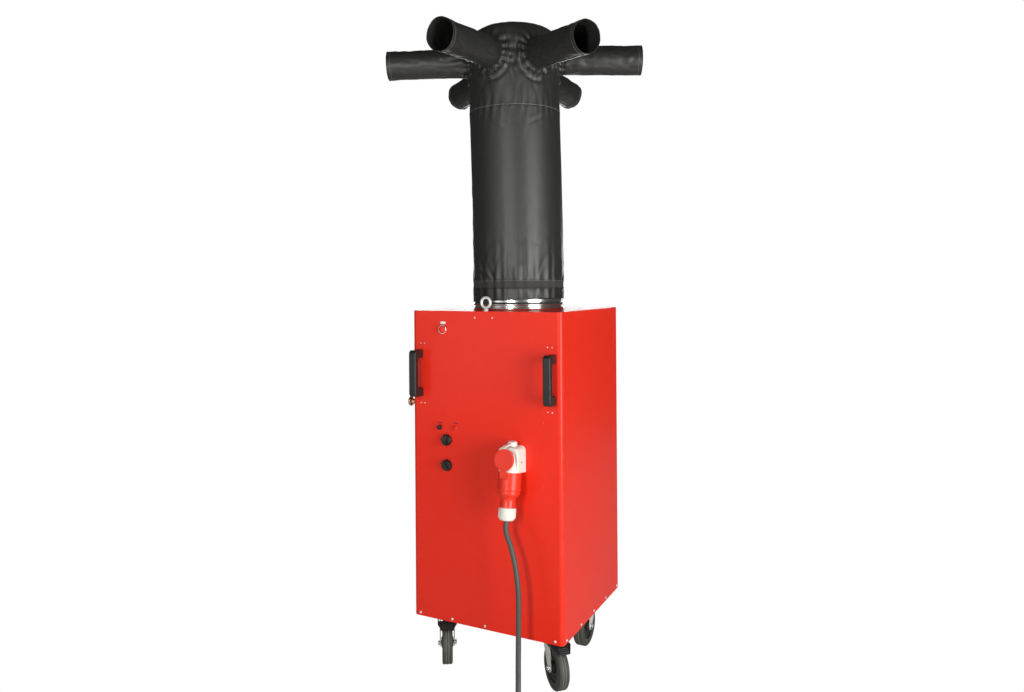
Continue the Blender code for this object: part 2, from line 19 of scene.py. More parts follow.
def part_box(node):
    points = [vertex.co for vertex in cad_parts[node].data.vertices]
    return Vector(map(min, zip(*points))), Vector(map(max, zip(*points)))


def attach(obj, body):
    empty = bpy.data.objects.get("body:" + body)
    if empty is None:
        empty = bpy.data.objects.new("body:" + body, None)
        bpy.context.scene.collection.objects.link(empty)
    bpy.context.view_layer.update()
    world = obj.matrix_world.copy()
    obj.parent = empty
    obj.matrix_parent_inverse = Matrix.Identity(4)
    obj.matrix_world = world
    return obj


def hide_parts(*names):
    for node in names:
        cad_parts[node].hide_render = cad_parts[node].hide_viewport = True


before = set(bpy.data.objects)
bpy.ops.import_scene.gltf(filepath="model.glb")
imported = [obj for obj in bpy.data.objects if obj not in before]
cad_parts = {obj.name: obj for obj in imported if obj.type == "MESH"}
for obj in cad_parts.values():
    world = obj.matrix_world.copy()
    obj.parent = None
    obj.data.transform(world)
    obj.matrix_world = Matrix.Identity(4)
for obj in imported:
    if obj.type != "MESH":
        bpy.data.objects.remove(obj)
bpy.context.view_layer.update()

log = logging.getLogger("dryer")
Color = tuple[float, float, float]
Point = tuple[float, float, float]
FULL_TURN = 2 * math.pi
CLEARANCE = 0.0003


# ---------------------------------------------------------------- shared shader groups
FLOAT, VECTOR, COLOR = "NodeSocketFloat", "NodeSocketVector", "NodeSocketColor"
WHITE = (1.0, 1.0, 1.0, 1.0)
GREY = (0.5, 0.5, 0.5, 1.0)


class Graph:
    """A shader node tree under construction."""

    def __init__(self, tree: bpy.types.NodeTree) -> None:
        """Work on a node tree."""
        self.tree = tree
        self.given = self.end = None

    @classmethod
    def group(cls, name: str, inputs: Sequence[tuple], outputs: Sequence[tuple]) -> "Graph":
        """Start a node group with named sockets.

        Args:
            name: The group's name.
            inputs: (socket name, socket type, default or None) for each input.
            outputs: (socket name, socket type) for each output.

        Returns:
            The graph, with the sockets given to it in its attribute given.
        """
        graph = cls(bpy.data.node_groups.new(name, "ShaderNodeTree"))
        for label, kind, default in inputs:
            socket = graph.tree.interface.new_socket(label, in_out="INPUT", socket_type=kind)
            if default is not None:
                socket.default_value = default
        for label, kind in outputs:
            graph.tree.interface.new_socket(label, in_out="OUTPUT", socket_type=kind)
        graph.given = graph.tree.nodes.new("NodeGroupInput").outputs
        graph.end = graph.tree.nodes.new("NodeGroupOutput")
        return graph

    def feed(self, node: bpy.types.Node, inputs: dict) -> None:
        """Link a socket, or set a value, on each named or numbered input of a node."""
        for label, value in inputs.items():
            if isinstance(value, bpy.types.NodeSocket):
                self.tree.links.new(value, node.inputs[label])
            else:
                node.inputs[label].default_value = value

    def add(self, kind: str, inputs: dict, **settings: object) -> bpy.types.Node:
        """Add a node.

        Args:
            kind: Its type, without the leading ShaderNode.
            inputs: A value or a socket for each input.
            settings: The node's own attributes.

        Returns:
            The node.
        """
        node = self.tree.nodes.new(f"ShaderNode{kind}")
        for label, value in settings.items():
            setattr(node, label, value)
        self.feed(node, inputs)
        return node

    def math(self, operation: str, *values: object, **settings: object) -> bpy.types.NodeSocket:
        """The result of a math node on values or sockets."""
        return self.add("Math", dict(enumerate(values)), operation=operation,
                        **settings).outputs[0]

    def finish(self, outputs: dict) -> bpy.types.NodeTree:
        """Link the group's outputs and hand its tree over."""
        self.feed(self.end, outputs)
        return self.tree


def _height_group(name: str, size: float) -> Graph:
    """Start a group that turns a place and a size into a height."""
    return Graph.group(name, [("Vector", VECTOR, None), ("Size", FLOAT, size)],
                       [("Height", FLOAT)])


class ShaderGroups:
    """The effects that several finishes share, each built once on first use."""

    @staticmethod
    def get(name: str) -> bpy.types.NodeTree:
        """The named group, built when it doesn't exist yet."""
        return bpy.data.node_groups.get(name) or getattr(ShaderGroups, name)()

    @staticmethod
    def mottle() -> bpy.types.NodeTree:
        """Slow changes of tone and roughness over a surface."""
        graph = Graph.group(
            "mottle",
            [("Vector", VECTOR, None), ("Size", FLOAT, 4.0), ("Color", COLOR, GREY),
             ("Tone", FLOAT, 0.1), ("Roughness", FLOAT, 0.5), ("Spread", FLOAT, 0.1)],
            [("Color", COLOR), ("Roughness", FLOAT)])
        given = graph.given
        cloud = graph.add("TexNoise", {"Vector": given["Vector"], "Scale": given["Size"],
                                       "Detail": 4})
        centred = graph.math("SUBTRACT", cloud.outputs["Fac"], 0.5)
        tone = graph.math("MULTIPLY_ADD", centred, given["Tone"], 1.0)
        tint = graph.add("HueSaturation", {"Color": given["Color"], "Value": tone})
        rough = graph.math("MULTIPLY_ADD", centred, given["Spread"], given["Roughness"],
                           use_clamp=True)
        return graph.finish({"Color": tint.outputs["Color"], "Roughness": rough})

    @staticmethod
    def edge_rub() -> bpy.types.NodeTree:
        """Worn, paler colour along convex edges, broken up by noise."""
        graph = Graph.group(
            "edge_rub",
            [("Vector", VECTOR, None), ("Color", COLOR, GREY),
             ("Worn Color", COLOR, (0.8, 0.8, 0.8, 1)), ("Amount", FLOAT, 0.4)],
            [("Color", COLOR)])
        given = graph.given
        convex = graph.add("NewGeometry", {}).outputs["Pointiness"]
        edge = graph.add("MapRange", {"Value": convex, "From Min": 0.53, "From Max": 0.62})
        patchy = graph.add("TexNoise", {"Vector": given["Vector"], "Scale": 28.0, "Detail": 6})
        broken = graph.add("MapRange", {"Value": patchy.outputs["Fac"], "From Min": 0.42,
                                        "From Max": 0.68})
        both = graph.math("MULTIPLY", edge.outputs["Result"], broken.outputs["Result"])
        amount = graph.math("MULTIPLY", both, given["Amount"])
        mix = graph.add("Mix", {}, data_type="RGBA")
        graph.feed(mix, {0: amount, 6: given["Color"], 7: given["Worn Color"]})
        return graph.finish({"Color": mix.outputs[2]})

    @staticmethod
    def fine_grain() -> bpy.types.NodeTree:
        """The pebbled height of powder coat, moulded plastic and rubber."""
        graph = _height_group("fine_grain", 900.0)
        pebbles = graph.add("TexNoise", {"Vector": graph.given["Vector"],
                                         "Scale": graph.given["Size"], "Detail": 3})
        return graph.finish({"Height": pebbles.outputs["Fac"]})

    @staticmethod
    def drawn_lines() -> bpy.types.NodeTree:
        """The fine lines of drawn or turned metal, long in X and Y and close in Z."""
        graph = _height_group("drawn_lines", 500.0)
        stretch = graph.add("Mapping", {"Vector": graph.given["Vector"],
                                        "Scale": (0.02, 0.02, 1.0)})
        lines = graph.add("TexNoise", {"Vector": stretch.outputs["Vector"],
                                       "Scale": graph.given["Size"], "Detail": 2})
        return graph.finish({"Height": lines.outputs["Fac"]})

    @staticmethod
    def zinc_spangle() -> bpy.types.NodeTree:
        """The crystal patches of hot-dip zinc."""
        graph = _height_group("zinc_spangle", 90.0)
        patches = graph.add("TexVoronoi", {"Vector": graph.given["Vector"],
                                           "Scale": graph.given["Size"]}, feature="F1")
        level = graph.add("RGBToBW", {"Color": patches.outputs["Color"]})
        return graph.finish({"Height": level.outputs["Val"]})

    @staticmethod
    def plain_weave() -> bpy.types.NodeTree:
        """Warp and weft threads crossing at right angles on the first two coordinates."""
        graph = _height_group("plain_weave", 1.0)
        sized = graph.add("VectorMath", {}, operation="SCALE")
        graph.feed(sized, {0: graph.given["Vector"], "Scale": graph.given["Size"]})
        threads = [graph.add("TexWave", {"Vector": sized.outputs[0], "Scale": 300.0,
                                         "Distortion": 0.6}, bands_direction=way).outputs["Fac"]
                   for way in ("X", "Y")]
        return graph.finish({"Height": graph.math("MULTIPLY", *threads)})


# ---------------------------------------------------------------- finishes
class Relief(Enum):
    """Which small-scale height a finish carries: (group, size, bump distance)."""

    POWDER = ("fine_grain", 420.0, 0.00030)
    MOULDED = ("fine_grain", 1400.0, 0.00012)
    RUBBER = ("fine_grain", 700.0, 0.00030)
    WOOL = ("fine_grain", 220.0, 0.00600)
    DRAWN = ("drawn_lines", 900.0, 0.00005)
    SPANGLE = ("zinc_spangle", 110.0, 0.00006)
    WEAVE = ("plain_weave", 1.0, 0.00003)
    WEBBING = ("plain_weave", 0.35, 0.00050)
    NONE = (None, 0.0, 0.0)


@dataclass(frozen=True)
class Finish:
    """One material of the dryer.

    Args:
        name: The material's name, and the record's slot unless slot says another.
        color: Linear base colour.
        roughness: Middle roughness.
        metallic: 0 or 1, or between for dull plating.
        tone: How far the colour's value swings over the surface.
        spread: How far the roughness swings over the surface.
        patch: Noise scale of both swings.
        relief: The small-scale height.
        worn: Colour along rubbed edges.
        rub: How strongly the edges are rubbed.
        coat: Clear-coat weight.
        sheen: Sheen weight.
        specular: Specular level of the Principled shader.
        glow: Emission strength in the finish's own colour.
        slot: The record's material slot.
        uses_uv: Whether the relief follows the piece's UV map.
    """

    name: str
    color: Color
    roughness: float
    metallic: float = 0.0
    tone: float = 0.10
    spread: float = 0.12
    patch: float = 5.0
    relief: Relief = Relief.NONE
    worn: Color = (0.6, 0.6, 0.6)
    rub: float = 0.0
    coat: float = 0.0
    sheen: float = 0.0
    specular: float = 0.5
    glow: float = 0.0
    slot: str = ""
    uses_uv: bool = False

    def material(self) -> bpy.types.Material:
        """The finish as a node material, made on first use.

        Returns:
            The Blender material.
        """
        label = f"look_{self.name}"        # The frame has plain materials under the slots' own names.
        made = bpy.data.materials.get(label)
        if made:
            return made
        made = bpy.data.materials.new(label)
        made.use_nodes = True
        made.diffuse_color = (*self.color, 1)
        graph = Graph(made.node_tree)
        shader = made.node_tree.nodes["Principled BSDF"]
        place = graph.add("TexCoord", {}).outputs
        mottle = graph.add("Group", {"Vector": place["Object"], "Size": self.patch,
                                     "Color": (*self.color, 1), "Tone": self.tone,
                                     "Roughness": self.roughness, "Spread": self.spread},
                           node_tree=ShaderGroups.get("mottle"))
        color = mottle.outputs["Color"]
        if self.rub:
            rub = graph.add("Group", {"Vector": place["Object"], "Color": color,
                                      "Worn Color": (*self.worn, 1), "Amount": self.rub},
                            node_tree=ShaderGroups.get("edge_rub"))
            color = rub.outputs["Color"]
        graph.feed(shader, {"Base Color": color, "Roughness": mottle.outputs["Roughness"],
                            "Metallic": self.metallic, "Coat Weight": self.coat,
                            "Coat Roughness": 0.15, "Sheen Weight": self.sheen,
                            "Specular IOR Level": self.specular})
        if self.glow:
            graph.feed(shader, {"Emission Color": color, "Emission Strength": self.glow})
        group, size, distance = self.relief.value
        if group:
            source = place["UV"] if self.uses_uv else place["Object"]
            relief = graph.add("Group", {"Vector": source, "Size": size},
                               node_tree=ShaderGroups.get(group))
            bump = graph.add("Bump", {"Strength": 0.6, "Distance": distance,
                                      "Height": relief.outputs["Height"]})
            graph.feed(shader, {"Normal": bump.outputs["Normal"]})
        return made

    @property
    def record_slot(self) -> str:
        """The record's slot that a piece in this finish takes its colour from."""
        return self.slot or self.name


RED_PAINT = Finish("red_paint", (0.800, 0.024, 0.008), 0.36, tone=0.06, spread=0.10, patch=2.2,
                   relief=Relief.POWDER, worn=(0.85, 0.16, 0.10), rub=0.4, coat=0.06,
                   specular=0.28)
GALVANISED = Finish("galvanised", (0.74, 0.74, 0.69), 0.38, 0.40, tone=0.16, patch=40,
                    relief=Relief.SPANGLE, worn=(0.85, 0.85, 0.80), rub=0.4)
STEEL = Finish("steel", (0.78, 0.78, 0.75), 0.22, 1.0, tone=0.08, relief=Relief.DRAWN)
CHROME = Finish("chrome", (0.88, 0.87, 0.85), 0.08, 1.0, tone=0.03, spread=0.05)
SCREW = Finish("screw_head", (0.86, 0.85, 0.80), 0.30, 0.55, tone=0.12, patch=300,
               worn=(0.95, 0.95, 0.92), rub=0.5, slot="steel")
BRASS = Finish("brass", (0.78, 0.58, 0.36), 0.26, 1.0, tone=0.15, patch=60, relief=Relief.DRAWN)
CLOTH = Finish("coated_fabric", (0.020, 0.020, 0.018), 0.49, tone=0.30, spread=0.10, patch=3.0,
               relief=Relief.WEAVE, specular=0.70, uses_uv=True)
HEM = Finish("hem_cloth", (0.024, 0.024, 0.022), 0.55, tone=0.25, patch=30, relief=Relief.WEAVE,
             specular=0.4, slot="coated_fabric")
WEBBING = Finish("webbing", (0.034, 0.032, 0.031), 0.75, tone=0.2, patch=20, relief=Relief.WEBBING,
                 sheen=0.15)
THREAD = Finish("seam_thread", (0.16, 0.16, 0.145), 0.6, tone=0.5, patch=60, slot="coated_fabric")
BLACK_PLASTIC = Finish("black_plastic", (0.014, 0.015, 0.014), 0.36, tone=0.2, patch=30,
                       relief=Relief.MOULDED, worn=(0.10, 0.10, 0.09), rub=0.5)
WHITE_PLASTIC = Finish("white_plastic", (0.78, 0.78, 0.70), 0.42, tone=0.05, patch=14,
                       relief=Relief.MOULDED, worn=(0.60, 0.59, 0.54), rub=0.3)
RED_PLASTIC = Finish("red_plastic", (0.78, 0.034, 0.012), 0.34, tone=0.06, patch=12, specular=0.4,
                     relief=Relief.MOULDED, worn=(0.85, 0.22, 0.14), rub=0.4)
RUBBER = Finish("rubber", (0.050, 0.056, 0.046), 0.62, tone=0.3, patch=25, relief=Relief.RUBBER,
                worn=(0.16, 0.17, 0.14), rub=0.7)
DUST = Finish("tread_dust", (0.24, 0.25, 0.21), 0.8, tone=0.3, patch=60, slot="rubber")
HUB = Finish("hub_plastic", (0.012, 0.012, 0.012), 0.42, tone=0.2, patch=25,
             relief=Relief.MOULDED, slot="rubber")
CABLE = Finish("cable_rubber", (0.070, 0.074, 0.064), 0.50, tone=0.15, patch=20,
               relief=Relief.RUBBER)
WOOL = Finish("filter_wool", (0.52, 0.53, 0.50), 0.95, tone=0.35, patch=30, relief=Relief.WOOL)
LENS = Finish("red_lens", (0.55, 0.016, 0.012), 0.12, tone=0.1, coat=0.6, glow=0.15)
LABEL = Finish("label_plate", (0.80, 0.79, 0.76), 0.35, 0.2, tone=0.05, slot="steel")
INK = Finish("panel_ink", (0.16, 0.012, 0.010), 0.5, tone=0.2, slot="red_paint")
DOT = Finish("white_dot", (0.85, 0.85, 0.82), 0.4, slot="white_plastic")


# ---------------------------------------------------------------- mesh work
def arc(cx: float, cy: float, radius: float, start: float, end: float, steps: int) -> list:
    """Points on an arc, with its angles in degrees.

    Returns:
        steps + 1 (x, y) pairs.
    """
    turns = [math.radians(start + (end - start) * i / steps) for i in range(steps + 1)]
    return [(cx + radius * math.cos(t), cy + radius * math.sin(t)) for t in turns]


def rounded_rect(width: float, depth: float, radius: float, steps: int = 8) -> list:
    """Outline of a rectangle with round corners, centred on the origin.

    Returns:
        The (x, y) pairs, anticlockwise.
    """
    x, y = width / 2 - radius, depth / 2 - radius
    corners = ((x, y, 0), (-x, y, 90), (-x, -y, 180), (x, -y, 270))
    return [p for cx, cy, a in corners for p in arc(cx, cy, radius, a, a + 90, steps)]


class Shape:
    """A mesh under construction, shaped with bmesh operators and then shown as a piece."""

    def __init__(self) -> None:
        """Start an empty shape."""
        self.bm = bmesh.new()

    @classmethod
    def box(cls, low: Sequence[float], high: Sequence[float]) -> "Shape":
        """A block between two corners."""
        shape = cls()
        low, high = Vector(low), Vector(high)
        place = Matrix.Translation((low + high) / 2) @ Matrix.Diagonal((*(high - low), 1))
        bmesh.ops.create_cube(shape.bm, size=1, matrix=place)
        return shape

    @classmethod
    def turned(cls, profile: Sequence[tuple], steps: int = 64, closed: bool = False) -> "Shape":
        """A profile of (radius, height) turned round Z.

        Args:
            profile: The outline; an open one starts and ends on the axis.
            steps: Steps round the full turn.
            closed: Whether the profile joins its own start, as a ring's does.

        Returns:
            The closed shape.
        """
        shape = cls()
        verts = [shape.bm.verts.new((r, 0, z)) for r, z in profile]
        pairs = list(zip(verts, verts[1:]))
        if closed:
            pairs.append((verts[-1], verts[0]))
        edges = [shape.bm.edges.new(pair) for pair in pairs]
        bmesh.ops.spin(shape.bm, geom=verts + edges, axis=(0, 0, 1), cent=(0, 0, 0),
                       angle=FULL_TURN, steps=steps, use_merge=True)
        bmesh.ops.remove_doubles(shape.bm, verts=shape.bm.verts, dist=1e-6)
        bmesh.ops.recalc_face_normals(shape.bm, faces=shape.bm.faces)
        return shape

    @classmethod
    def rod(cls, radius: float, z0: float, z1: float, steps: int = 48, lip: float = 0.0) -> "Shape":
        """A solid cylinder on Z with softened rims."""
        profile = [(0, z0), (radius - lip, z0), (radius, z0 + lip), (radius, z1 - lip),
                   (radius - lip, z1), (0, z1)]
        return cls.turned(profile if lip else [profile[0], (radius, z0), (radius, z1), profile[-1]],
                          steps)

    @classmethod
    def torus(cls, major: float, minor: float, steps: int = 96, rings: int = 16) -> "Shape":
        """A ring of round section about Z."""
        return cls.turned(arc(major, 0, minor, 0, 360 - 360 / rings, rings - 1), steps, closed=True)

    @classmethod
    def plate(cls, outline: Sequence[tuple], depth: float) -> "Shape":
        """A flat outline in XY raised by depth along Z."""
        shape = cls()
        face = shape.bm.faces.new([shape.bm.verts.new((x, y, 0)) for x, y in outline])
        raised = bmesh.ops.extrude_face_region(shape.bm, geom=[face])
        verts = [v for v in raised["geom"] if isinstance(v, bmesh.types.BMVert)]
        bmesh.ops.translate(shape.bm, verts=verts, vec=(0, 0, depth))
        bmesh.ops.recalc_face_normals(shape.bm, faces=shape.bm.faces)
        return shape

    @classmethod
    def of_node(cls, node: str) -> "Shape":
        """A merged copy of a frame node's mesh, with its flat faces whole."""
        shape = cls()
        shape.bm.from_mesh(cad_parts[node].data)
        bmesh.ops.remove_doubles(shape.bm, verts=shape.bm.verts, dist=2e-6)
        bmesh.ops.dissolve_limit(shape.bm, angle_limit=math.radians(0.5), verts=shape.bm.verts,
                                 edges=shape.bm.edges)
        return shape

    def moved(self, offset: Sequence[float] = (0, 0, 0),
              turn: Sequence[float] = (0, 0, 0)) -> "Shape":
        """Turn by Euler angles, then shift."""
        matrix = Matrix.Translation(offset) @ Euler(turn).to_matrix().to_4x4()
        return self.by(matrix)

    def by(self, matrix: Matrix) -> "Shape":
        """Apply a matrix."""
        bmesh.ops.transform(self.bm, matrix=matrix, verts=self.bm.verts)
        return self

    def along(self, start: Sequence[float], direction: Sequence[float]) -> "Shape":
        """Lay a shape built on Z along a direction from a start point."""
        turn = Vector(direction).to_track_quat("Z", "Y").to_matrix().to_4x4()
        return self.by(Matrix.Translation(start) @ turn)

    def front(self, x: float, z: float, y: float) -> "Shape":
        """Turn a shape built on Z to point out of the front, at a place on it."""
        return self.moved((x, y, z), (math.pi / 2, 0, 0))

    def with_(self, *others: "Shape") -> "Shape":
        """Take other shapes in as separate shells of the same piece."""
        for other in others:
            mesh = bpy.data.meshes.new("shell")
            other.bm.to_mesh(mesh)
            other.bm.free()
            self.bm.from_mesh(mesh)
            bpy.data.meshes.remove(mesh)
        return self

    def without(self, *others: "Shape") -> "Shape":
        """Cut other closed shapes out with exact Booleans on temporary objects."""
        for other in others:
            pair = []
            for shape in (self, other):
                mesh = bpy.data.meshes.new("work")
                shape.bm.to_mesh(mesh)
                obj = bpy.data.objects.new("work", mesh)
                bpy.context.collection.objects.link(obj)
                pair.append(obj)
            other.bm.free()
            mod = pair[0].modifiers.new("work", "BOOLEAN")
            mod.operation, mod.solver, mod.object = "DIFFERENCE", "EXACT", pair[1]
            graph = bpy.context.evaluated_depsgraph_get()
            result = pair[0].evaluated_get(graph).to_mesh()
            self.bm.clear()
            self.bm.from_mesh(result)
            for obj in pair:
                mesh = obj.data
                bpy.data.objects.remove(obj)
                bpy.data.meshes.remove(mesh)
        return self

    def show(self, name: str, body: str, look: Finish, replaces: Iterable[str] = (),
             round_edges: float = 0.0, level: bool = True) -> bpy.types.Object:
        """Make the shape a finished piece that rides on a body.

        Args:
            name: The piece's name.
            body: The moving body it rides on.
            look: Its finish.
            replaces: Frame nodes that it stands for.
            round_edges: Width of the bevel along edges sharper than 38 degrees.
            level: Whether flat faces keep their own normals beside rounded ones.

        Returns:
            The object.
        """
        mesh = bpy.data.meshes.new(name)
        self.bm.to_mesh(mesh)
        self.bm.free()
        mesh.materials.clear()
        mesh.materials.append(look.material())
        mesh.polygons.foreach_set("material_index", [0] * len(mesh.polygons))
        mesh.shade_smooth()
        mesh.set_sharp_from_angle(angle=math.radians(38))
        obj = bpy.data.objects.new(name, mesh)
        bpy.context.collection.objects.link(obj)
        if round_edges:
            mesh.set_sharp_from_angle(angle=math.pi)
            roll = obj.modifiers.new("round_edges", "BEVEL")
            roll.width, roll.segments, roll.limit_method = round_edges, 3, "ANGLE"
            roll.angle_limit = math.radians(38)
        if level:
            weigh = obj.modifiers.new("level_faces", "WEIGHTED_NORMAL")
            weigh.keep_sharp = True
        return dress(obj, body, replaces)


def dress(obj: bpy.types.Object, body: str,
          replaces: Iterable[str] = ()) -> bpy.types.Object:
    """Tie a piece to its body and the nodes that it stands for.

    Args:
        obj: The piece.
        body: The moving body it rides on.
        replaces: Frame nodes that it stands for.

    Returns:
        The same object.
    """
    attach(obj, body)
    names = list(replaces)
    if names:
        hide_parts(*names)
    log.info("%s rides on %s", obj.name, body)
    return obj


# ---------------------------------------------------------------- studio
@dataclass(frozen=True)
class SoftBox:
    """A soft area light.

    Args:
        name: Its name.
        place: Where it hangs.
        power: In watts.
        wide: Its width.
        high: Its height.
        aim: The point that it faces.
    """

    name: str
    place: Point
    power: float
    wide: float
    high: float
    aim: Point

    def hang(self) -> None:
        """Add the light to the scene."""
        data = bpy.data.lights.new(self.name, "AREA")
        data.energy, data.shape = self.power, "RECTANGLE"
        data.size, data.size_y = self.wide, self.high
        lamp = bpy.data.objects.new(self.name, data)
        bpy.context.collection.objects.link(lamp)
        lamp.location = self.place
        lamp.rotation_mode = "QUATERNION"
        lamp.rotation_quaternion = (Vector(self.aim) - Vector(self.place)).to_track_quat("-Z", "Y")


SOFT_BOXES = (SoftBox("key", (3.30, -1.50, 1.20), 112.0, 1.5, 2.0, (0, 0, 1.3)),
              SoftBox("flash", (0.30, -3.30, 1.70), 42.0, 0.4, 1.1, (0, 0, 1.2)),
              SoftBox("fill", (-1.70, -3.20, 1.30), 8.0, 1.0, 1.8, (0, 0, 1.3)),
              SoftBox("card", (-1.40, 3.60, 1.55), 50.0, 4.2, 0.4, (0, 0, 1.3)))


def split_for_camera(graph: Graph, output: str, lit: bpy.types.NodeSocket,
                     seen: bpy.types.NodeSocket) -> None:
    """Show the camera one shader and every other ray another.

    Args:
        graph: The material's or the world's graph.
        output: Name of its output node.
        lit: The shader for every other ray.
        seen: The shader for the camera.
    """
    share = graph.add("LightPath", {}).outputs["Is Camera Ray"]
    choose = graph.add("MixShader", {0: share, 1: lit, 2: seen})
    graph.feed(graph.tree.nodes[output], {"Surface": choose.outputs[0]})


@dataclass
class Studio:
    """Camera, soft lights, white surround and a pale floor.

    Args:
        eye: Where the camera stands.
        heading: Its turn to the left of +Y, in degrees.
        roll: Its roll, in degrees.
        lens: Focal length on a 36 mm sensor.
        shift: How far the frame is moved down, as a share of its width.
        ambient: Strength of the surround's light on the piece.
    """

    eye: Point = (1.295, -2.645, 1.398)
    heading: float = 26.6
    roll: float = -0.38
    lens: float = 26.88
    shift: float = -0.0618
    ambient: float = 0.06

    def place_camera(self) -> None:
        """Make the camera level, at the eye, turned to the dryer's front right corner."""
        data = bpy.data.cameras.new("camera")
        data.lens, data.sensor_width, data.shift_y = self.lens, 36.0, self.shift
        data.clip_end = 100
        camera = bpy.data.objects.new("camera", data)
        bpy.context.collection.objects.link(camera)
        turn = Euler((math.pi / 2, 0, math.radians(self.heading))).to_matrix()
        roll = Euler((0, 0, math.radians(self.roll))).to_matrix()
        camera.matrix_world = Matrix.Translation(self.eye) @ (turn @ roll).to_4x4()
        bpy.context.scene.camera = camera

    def light(self) -> None:
        """Hang the soft boxes and set a white surround that lights the piece only gently."""
        for box in SOFT_BOXES:
            box.hang()
        world = bpy.data.worlds.new("surround")
        bpy.context.scene.world = world
        world.use_nodes = True
        graph = Graph(world.node_tree)
        faint = world.node_tree.nodes["Background"]
        graph.feed(faint, {"Color": WHITE, "Strength": self.ambient})
        white = graph.add("Background", {"Color": WHITE, "Strength": 1.0})
        split_for_camera(graph, "World Output", faint.outputs[0], white.outputs[0])
        bpy.context.scene.view_settings.view_transform = "Standard"

    def lay_floor(self) -> None:
        """A plain pale floor just under the wheels."""
        shape = Shape()
        bmesh.ops.create_grid(shape.bm, x_segments=1, y_segments=1, size=14)
        mesh = bpy.data.meshes.new("floor")
        shape.bm.to_mesh(mesh)
        shape.bm.free()
        paint = bpy.data.materials.new("floor_paint")
        paint.use_nodes = True
        graph = Graph(paint.node_tree)
        shader = paint.node_tree.nodes["Principled BSDF"]
        graph.feed(shader, {"Base Color": (0.80, 0.80, 0.79, 1), "Roughness": 0.80})
        split_for_camera(graph, "Material Output", shader.outputs[0],
                         graph.add("Emission", {}).outputs[0])
        mesh.materials.append(paint)
        floor = bpy.data.objects.new("floor", mesh)
        bpy.context.collection.objects.link(floor)
        floor.location.z = -0.0005

    def build(self) -> None:
        """Make everything that isn't the dryer."""
        self.place_camera()
        self.light()
        self.lay_floor()


def paint(node: str, look: Finish) -> None:
    """Give a frame node that stays in view its own finish."""
    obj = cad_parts[node]
    obj.data.materials.clear()
    obj.data.materials.append(look.material())
    log.info("%s keeps its shape in %s", node, look.name)


def stroke(name: str, body: str, look: Finish, points: Sequence[Vector], radius: float,
           closed: bool = False, sides: int = 3,
           replaces: Iterable[str] = ()) -> bpy.types.Object:
    """A thin round bead along a line, such as a seam, a thread or a wire.

    Args:
        name: The piece's name.
        body: The body it rides on.
        look: Its finish.
        points: The line.
        radius: Of the bead.
        closed: Whether the line joins its own start.
        sides: Bevel resolution of the round section.
        replaces: Frame nodes that it stands for.

    Returns:
        The curve object.
    """
    curve = bpy.data.curves.new(name, "CURVE")
    curve.dimensions = "3D"
    curve.bevel_depth, curve.bevel_resolution, curve.use_fill_caps = radius, sides, not closed
    spline = curve.splines.new("POLY")
    spline.points.add(len(points) - 1)
    for point, place in zip(spline.points, points):
        point.co = (*place, 1)
    spline.use_cyclic_u = closed
    curve.materials.append(look.material())
    obj = bpy.data.objects.new(name, curve)
    bpy.context.collection.objects.link(obj)
    return dress(obj, body, replaces)


def hexagon(across: float, depth: float) -> Shape:
    """A hexagon nut blank of a width across its flats."""
    r = across / math.sqrt(3)
    return Shape.plate([(r * math.cos(math.radians(60 * i)), r * math.sin(math.radians(60 * i)))
                        for i in range(6)], depth)


def pan_screw(radius: float, height: float = 0.0022) -> Shape:
    """A domed screw head with a cross recess, on Z."""
    head = Shape.turned([(0, -0.001), (radius, -0.001), (radius, height * 0.25)]
                        + [(radius * math.cos(a), height * (0.25 + 0.75 * math.sin(a)))
                           for a in (0.5, 1.0, 1.35)] + [(0, height)], 24)
    arm, wide = radius * 0.62, radius * 0.2
    head.without(Shape.box((-arm, -wide, height * 0.45), (arm, wide, height * 2)))
    head.without(Shape.box((-wide, -arm, height * 0.45), (wide, arm, height * 2)))
    return head


